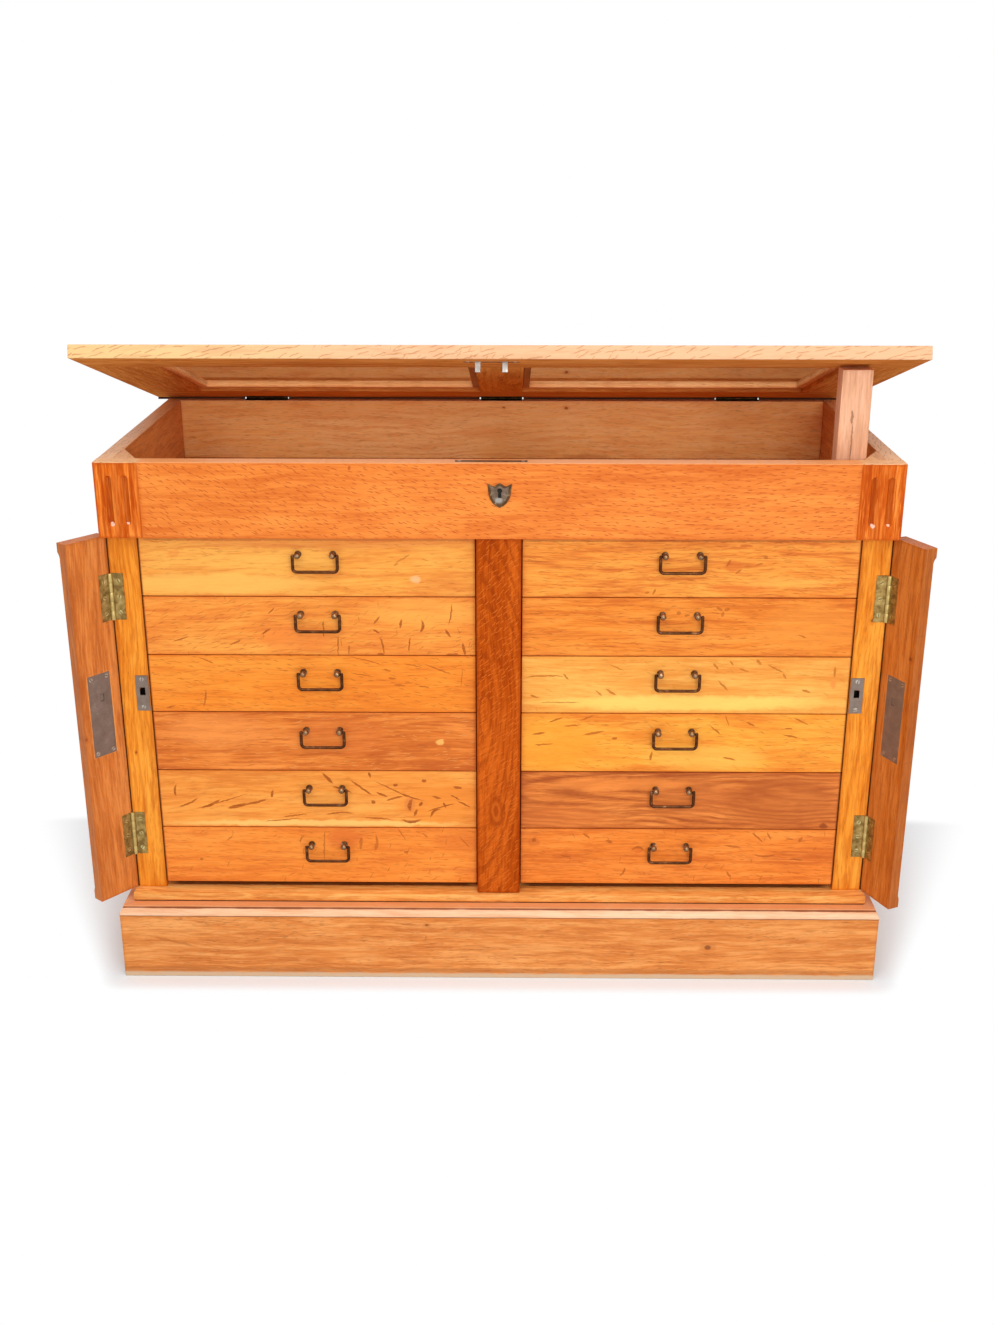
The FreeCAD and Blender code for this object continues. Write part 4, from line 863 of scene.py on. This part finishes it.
# A thin dark strip is pinned along the lid's back edge between the hinges and hangs just past the joint:
# painted shade, a dark sheet where that joint is in shade, so that no light shows through there.
shade_strip_oak = oak(
    "shade_strip_oak", (74, 40, 20), (96, 56, 30), (44, 22, 10), speck=(30, 16, 8), dirt_and_shade=0.1, rough=0.6
)
strip_edge = [(265.0, 879.2), (265.0, 890.0), (267.6, 890.0), (267.6, 875.4), (266.3, 875.4), (266.3, 879.2)]
strip_ends = [-630, *(x + way * (hinge_half + 2) for x in lid_hinges for way in (-1, 1)), 630]
strips = []
for x0, x1 in zip(strip_ends[::2], strip_ends[1::2]):
    near, far = [[tuple(opened @ (Vector((x, y, z)) / 1000)) for y, z in strip_edge] for x in (x0, x1)]
    turned_on = range(1 - len(strip_edge), 1)
    strips.append([[near[i - 1], far[i - 1], far[i], near[i]] for i in turned_on] + [near, far[::-1]])
worked("dust_strips", "lid_frame", shade_strip_oak, 0.2, turn=shut, solids=strips)

# A plain softwood plank props the lid: paler and pinker than the oak, with a shake.
prop_wood = oak(
    "prop_wood", (241, 181, 142), (253, 202, 166), (208, 147, 109), speck=(110, 78, 58), pith=(0, 60), ring=5,
    ringing=0.25, wander=8, streaks=0.5, pores=0.15, dirt_and_shade=0.15,
    stains=((-60, 2, 24, 6, (190, 134, 110), 0.6),), knots=((-66, 0, 3.4),),
    marks=((10, -2, 60, 0, 1.6), (48, -4, 20, 0, 2.4), (-80, 0, 70, 0, 1.2)), inked=0.7, rough=0.6
)
worked("prop_plank", "prop", prop_wood, 0.8)


# Every plate is held by slotted countersunk screws, no two turned quite the same way.
def screw_tree():
    tree = bpy.data.node_groups.new("slotted_screws", "GeometryNodeTree")
    tree.interface.new_socket("Geometry", in_out="OUTPUT", socket_type="NodeSocketGeometry")
    tree.interface.new_socket("Places", in_out="INPUT", socket_type="NodeSocketGeometry")
    for name, value in (("Head radius", 0.0035), ("Head rise", 0.00045), ("Slot width", 0.0009)):
        tree.interface.new_socket(name, in_out="INPUT", socket_type="NodeSocketFloat").default_value = value
    for name in ("Head finish", "Slot finish"):
        tree.interface.new_socket(name, in_out="INPUT", socket_type="NodeSocketMaterial")

    places = Tone(tree, tree.nodes.new("NodeGroupInput").outputs[0])
    radius, rise, slot_width, head_finish, slot_shade_finish = [places.other(socket) for socket in range(1, 6)]
    floor = rise - 0.00013
    sockets = {"Vertices": 24, "Radius": radius, "Depth": rise * 2.0}
    head = places.node("GeometryNodeMeshCylinder", None, sockets)
    size = places.node("CombineXYZ", None, {0: radius * 3.0, 1: slot_width, 2: 0.0006})
    cutter = places.node("GeometryNodeMeshCube", None, {"Size": size})
    lift = places.node("CombineXYZ", None, {2: floor + 0.0003})
    cutter = places.node("GeometryNodeTransform", None, {"Geometry": cutter, "Translation": lift})
    cut = places.node("GeometryNodeMeshBoolean", {"operation": "DIFFERENCE"}, {0: head, 1: cutter})
    cut = places.node("GeometryNodeSetMaterial", None, {"Geometry": cut, "Material": head_finish})
    # A black sheet at the floor of the slot: painted shade.
    size = places.node("CombineXYZ", None, {0: radius * 1.9, 1: slot_width, 2: 0.00004})
    slot_shade_sheet = places.node("GeometryNodeMeshCube", None, {"Size": size})
    lift = places.node("CombineXYZ", None, {2: floor})
    slot_shade_sheet = places.node("GeometryNodeTransform", None, {"Geometry": slot_shade_sheet, "Translation": lift})
    slot_shade_sheet = places.node("GeometryNodeSetMaterial", None, {"Geometry": slot_shade_sheet, "Material": slot_shade_finish})
    whole = places.node("GeometryNodeJoinGeometry", None, {0: cut})
    tree.links.new(slot_shade_sheet.socket, whole.socket.node.inputs[0])
    named = {}
    for label, kind in (("facing", "FLOAT_VECTOR"), ("spin", "FLOAT"), ("scale", "FLOAT")):
        named[label] = places.node("GeometryNodeInputNamedAttribute", {"data_type": kind}, {"Name": label})
    stood = places.node("FunctionNodeAlignRotationToVector", {"axis": "Z"}, {"Vector": named["facing"]})
    twist = places.node("FunctionNodeAxisAngleToRotation", None, {"Axis": (0, 0, 1), "Angle": named["spin"]})
    stood = places.node("FunctionNodeRotateRotation", {"rotation_space": "LOCAL"}, {0: stood, 1: twist})
    scale = places.node("CombineXYZ", None, {0: named["scale"], 1: named["scale"], 2: 1.0})
    sockets = {"Points": places, "Instance": whole, "Rotation": stood, "Scale": scale}
    placed = places.node("GeometryNodeInstanceOnPoints", None, sockets)
    real = placed.node("GeometryNodeRealizeInstances", None, {0: placed})
    tree.links.new(real.socket, tree.nodes.new("NodeGroupOutput").inputs[0])
    return tree


brass_screw = metal("brass_screw", (206, 184, 122), (150, 122, 66), (244, 232, 186), size=200, rough=0.3)
steel_screw = metal("steel_screw", (190, 178, 164), (140, 122, 106), (226, 220, 210), size=200, rough=0.36)
slotted = screw_tree()


def screws(name, body, finish, places, way=None):
    """Screws at points in millimetres with the way they face, all moved by one matrix."""
    way = way or Matrix.Identity(4)
    mesh = bpy.data.meshes.new(name + "_places")
    mesh.from_pydata([way @ (Vector(spot) / 1000) for spot, facing, scale in places], [], [])
    turns = random.Random(name)
    facings = [value for spot, facing, scale in places for value in way.to_3x3() @ Vector(facing)]
    mesh.attributes.new("facing", "FLOAT_VECTOR", "POINT").data.foreach_set("vector", facings)
    spins = [turns.uniform(0, 3.1) for spot in places]
    mesh.attributes.new("spin", "FLOAT", "POINT").data.foreach_set("value", spins)
    scales = [scale for *rest, scale in places]
    mesh.attributes.new("scale", "FLOAT", "POINT").data.foreach_set("value", scales)
    holder = bpy.data.objects.new(name + "_holder", mesh)
    bpy.context.scene.collection.objects.link(holder)
    modifier = holder.modifiers.new("screws", "NODES")
    modifier.node_group = slotted
    names = {item.name: item.identifier for item in slotted.interface.items_tree if item.in_out == "INPUT"}
    modifier[names["Head finish"]] = finish
    modifier[names["Slot finish"]] = shade_and_outline_black
    heads = bpy.data.meshes.new_from_object(holder.evaluated_get(bpy.context.evaluated_depsgraph_get()))
    bpy.data.objects.remove(holder)
    fit(name, heads, body)


post_face, flap_face = pin_y + half_joint, pin_y - half_joint
rim_level, lid_under = lid_pin.z * 1000 - half_joint, lid_pin.z * 1000 + half_joint
strike_x, strike_level = 570.6, 497
lid_lock_x, lid_lock_y = -11.25, -250
flap_lock_x, flap_lock_level = 567.6, 471
levels = [level + step for level in hinge_levels for step in screw_steps]
rows = [middle + step for middle in lid_hinges for step in screw_steps]
post_places = [((side * hinge_middle, post_face, z), (0, -1, 0), 1.0) for side in (-1, 1) for z in levels]
screws("post_hinge_screws", "cabinet", brass_screw, post_places)
box_places = [((x, lid_hinge_middle, rim_level), (0, 0, 1), 1.0) for x in rows]
screws("box_hinge_screws", "cabinet", brass_in_shade, box_places)
strikes = [(side * strike_x, strike_level + z) for side in (-1, 1) for z in (-24, 24)]
strike_places = [((x, post_face, z), (0, -1, 0), 1.0) for x, z in strikes]
strike_places += [((lid_lock_x + x, lid_lock_y, rim_level - 0.1), (0, 0, 1), 0.8) for x in (-48, 48)]
screws("strike_screws", "cabinet", steel_screw, strike_places)
lid_places = [((x, lid_hinge_middle, lid_under), (0, 0, -1), 1.0) for x in rows]
screws("lid_hinge_screws", "lid", brass_in_shade, lid_places, opened)
link_places = [((lid_lock_x + x, lid_lock_y, lid_under), (0, 0, -1), 0.8) for x in (-35, 35)]
screws("link_screws", "lid", steel_screw, link_places, opened)
for side, sign in (("left", -1), ("right", 1)):
    joint = joints["hinge_flap_" + side]
    pin, axis = Vector(joint["pos_m"]), Vector(joint["axis"])
    swing = Matrix.Translation(pin) @ Matrix.Rotation(-math.radians(joint["range_deg"][0]), 4, axis)
    swing = swing @ Matrix.Translation(-pin)
    flap_places = [((sign * hinge_middle, flap_face, z), (0, 1, 0), 1.0) for z in levels]
    screws("flap_hinge_screws_" + side, "flap_" + side, brass_screw, flap_places, swing)
    corners = [(flap_lock_x + x, flap_lock_level + z) for x in (-14.5, 14.5) for z in (-63, 63)]
    plate_places = [((sign * x, flap_face, z), (0, 1, 0), 0.98) for x, z in corners]
    screws("lock_plate_screws_" + side, "flap_" + side, steel_screw, plate_places, swing)

# The room: a white floor that the cabinet stands on and shades, and soft lamps.
floor_mesh = bpy.data.meshes.new("studio_floor")
floor_mesh.from_pydata([(-14, -14, 0), (14, -14, 0), (14, 14, 0), (-14, 14, 0)], [], [(0, 1, 2, 3)])
studio_floor = bpy.data.objects.new("studio_floor", floor_mesh)
bpy.context.scene.collection.objects.link(studio_floor)
floor_white, floor_tree, floor_shader = new_material("floor_white")
floor_shader.inputs["Base Color"].default_value = (0.88, 0.92, 0.95, 1)
floor_shader.inputs["Roughness"].default_value = 0.9


def seen_directly(tree):
    """One for what the camera sees straight, in a mirror or through glass."""
    ray = Tone(tree).node("LightPath", None, None, 0)
    return ray.most(ray.other(3)).most(ray.other(6))


# It shows its shade close in front of the plinth and wider beside it, then turns white.
shade_half, shade_front, shade_depth, fade = 0.625, 0.29, 0.285, 0.05
spot = Tone(floor_tree).node("TexCoord", None, None, 3)
forward = spot.part(1)
beside = (spot.part(0).size() - shade_half).most(0.0) / ((forward + shade_front).most(0.0) * 0.5 + fade)
before = (forward.size() - shade_depth).most(0.0) / fade
away = (beside * beside + before * before).step(0.0, 1.0) * seen_directly(floor_tree)
glowing = spot.node("Emission", None, {"Color": (1, 1, 1, 1), "Strength": 1.0})
lit = Tone(floor_tree, floor_shader.outputs[0])
shown = spot.node("MixShader", None, {0: away, 1: lit, 2: glowing})
floor_tree.links.new(shown.socket, floor_tree.nodes["Material Output"].inputs["Surface"])
floor_mesh.materials.append(floor_white)

world = bpy.data.worlds.new("studio")
bpy.context.scene.world = world
world.use_nodes = True
level = 0.54 + 0.46 * seen_directly(world.node_tree)
world.node_tree.links.new(level.socket, world.node_tree.nodes["Background"].inputs["Strength"])
world.node_tree.nodes["Background"].inputs["Color"].default_value = (1, 1, 1, 1)
lamps_aim = Vector((0, 0, 0.6))
for name, stand, size, power in (
    ("key_lamp", (-0.8, -2.8, 3.2), 1.3, 24),
    ("fill_lamp", (0.9, -3.1, 1.55), 1.2, 32),
    ("top_lamp", (0.0, -0.5, 3.6), 2.2, 40),
):
    lamp_data = bpy.data.lights.new(name, "AREA")
    lamp_data.energy = power
    lamp_data.size = size
    lamp = bpy.data.objects.new(name, lamp_data)
    lamp.location = stand
    lamp.rotation_euler = (lamps_aim - lamp.location).to_track_quat("-Z", "Y").to_euler()
    bpy.context.scene.collection.objects.link(lamp)
bpy.context.scene.view_settings.view_transform = "Standard"
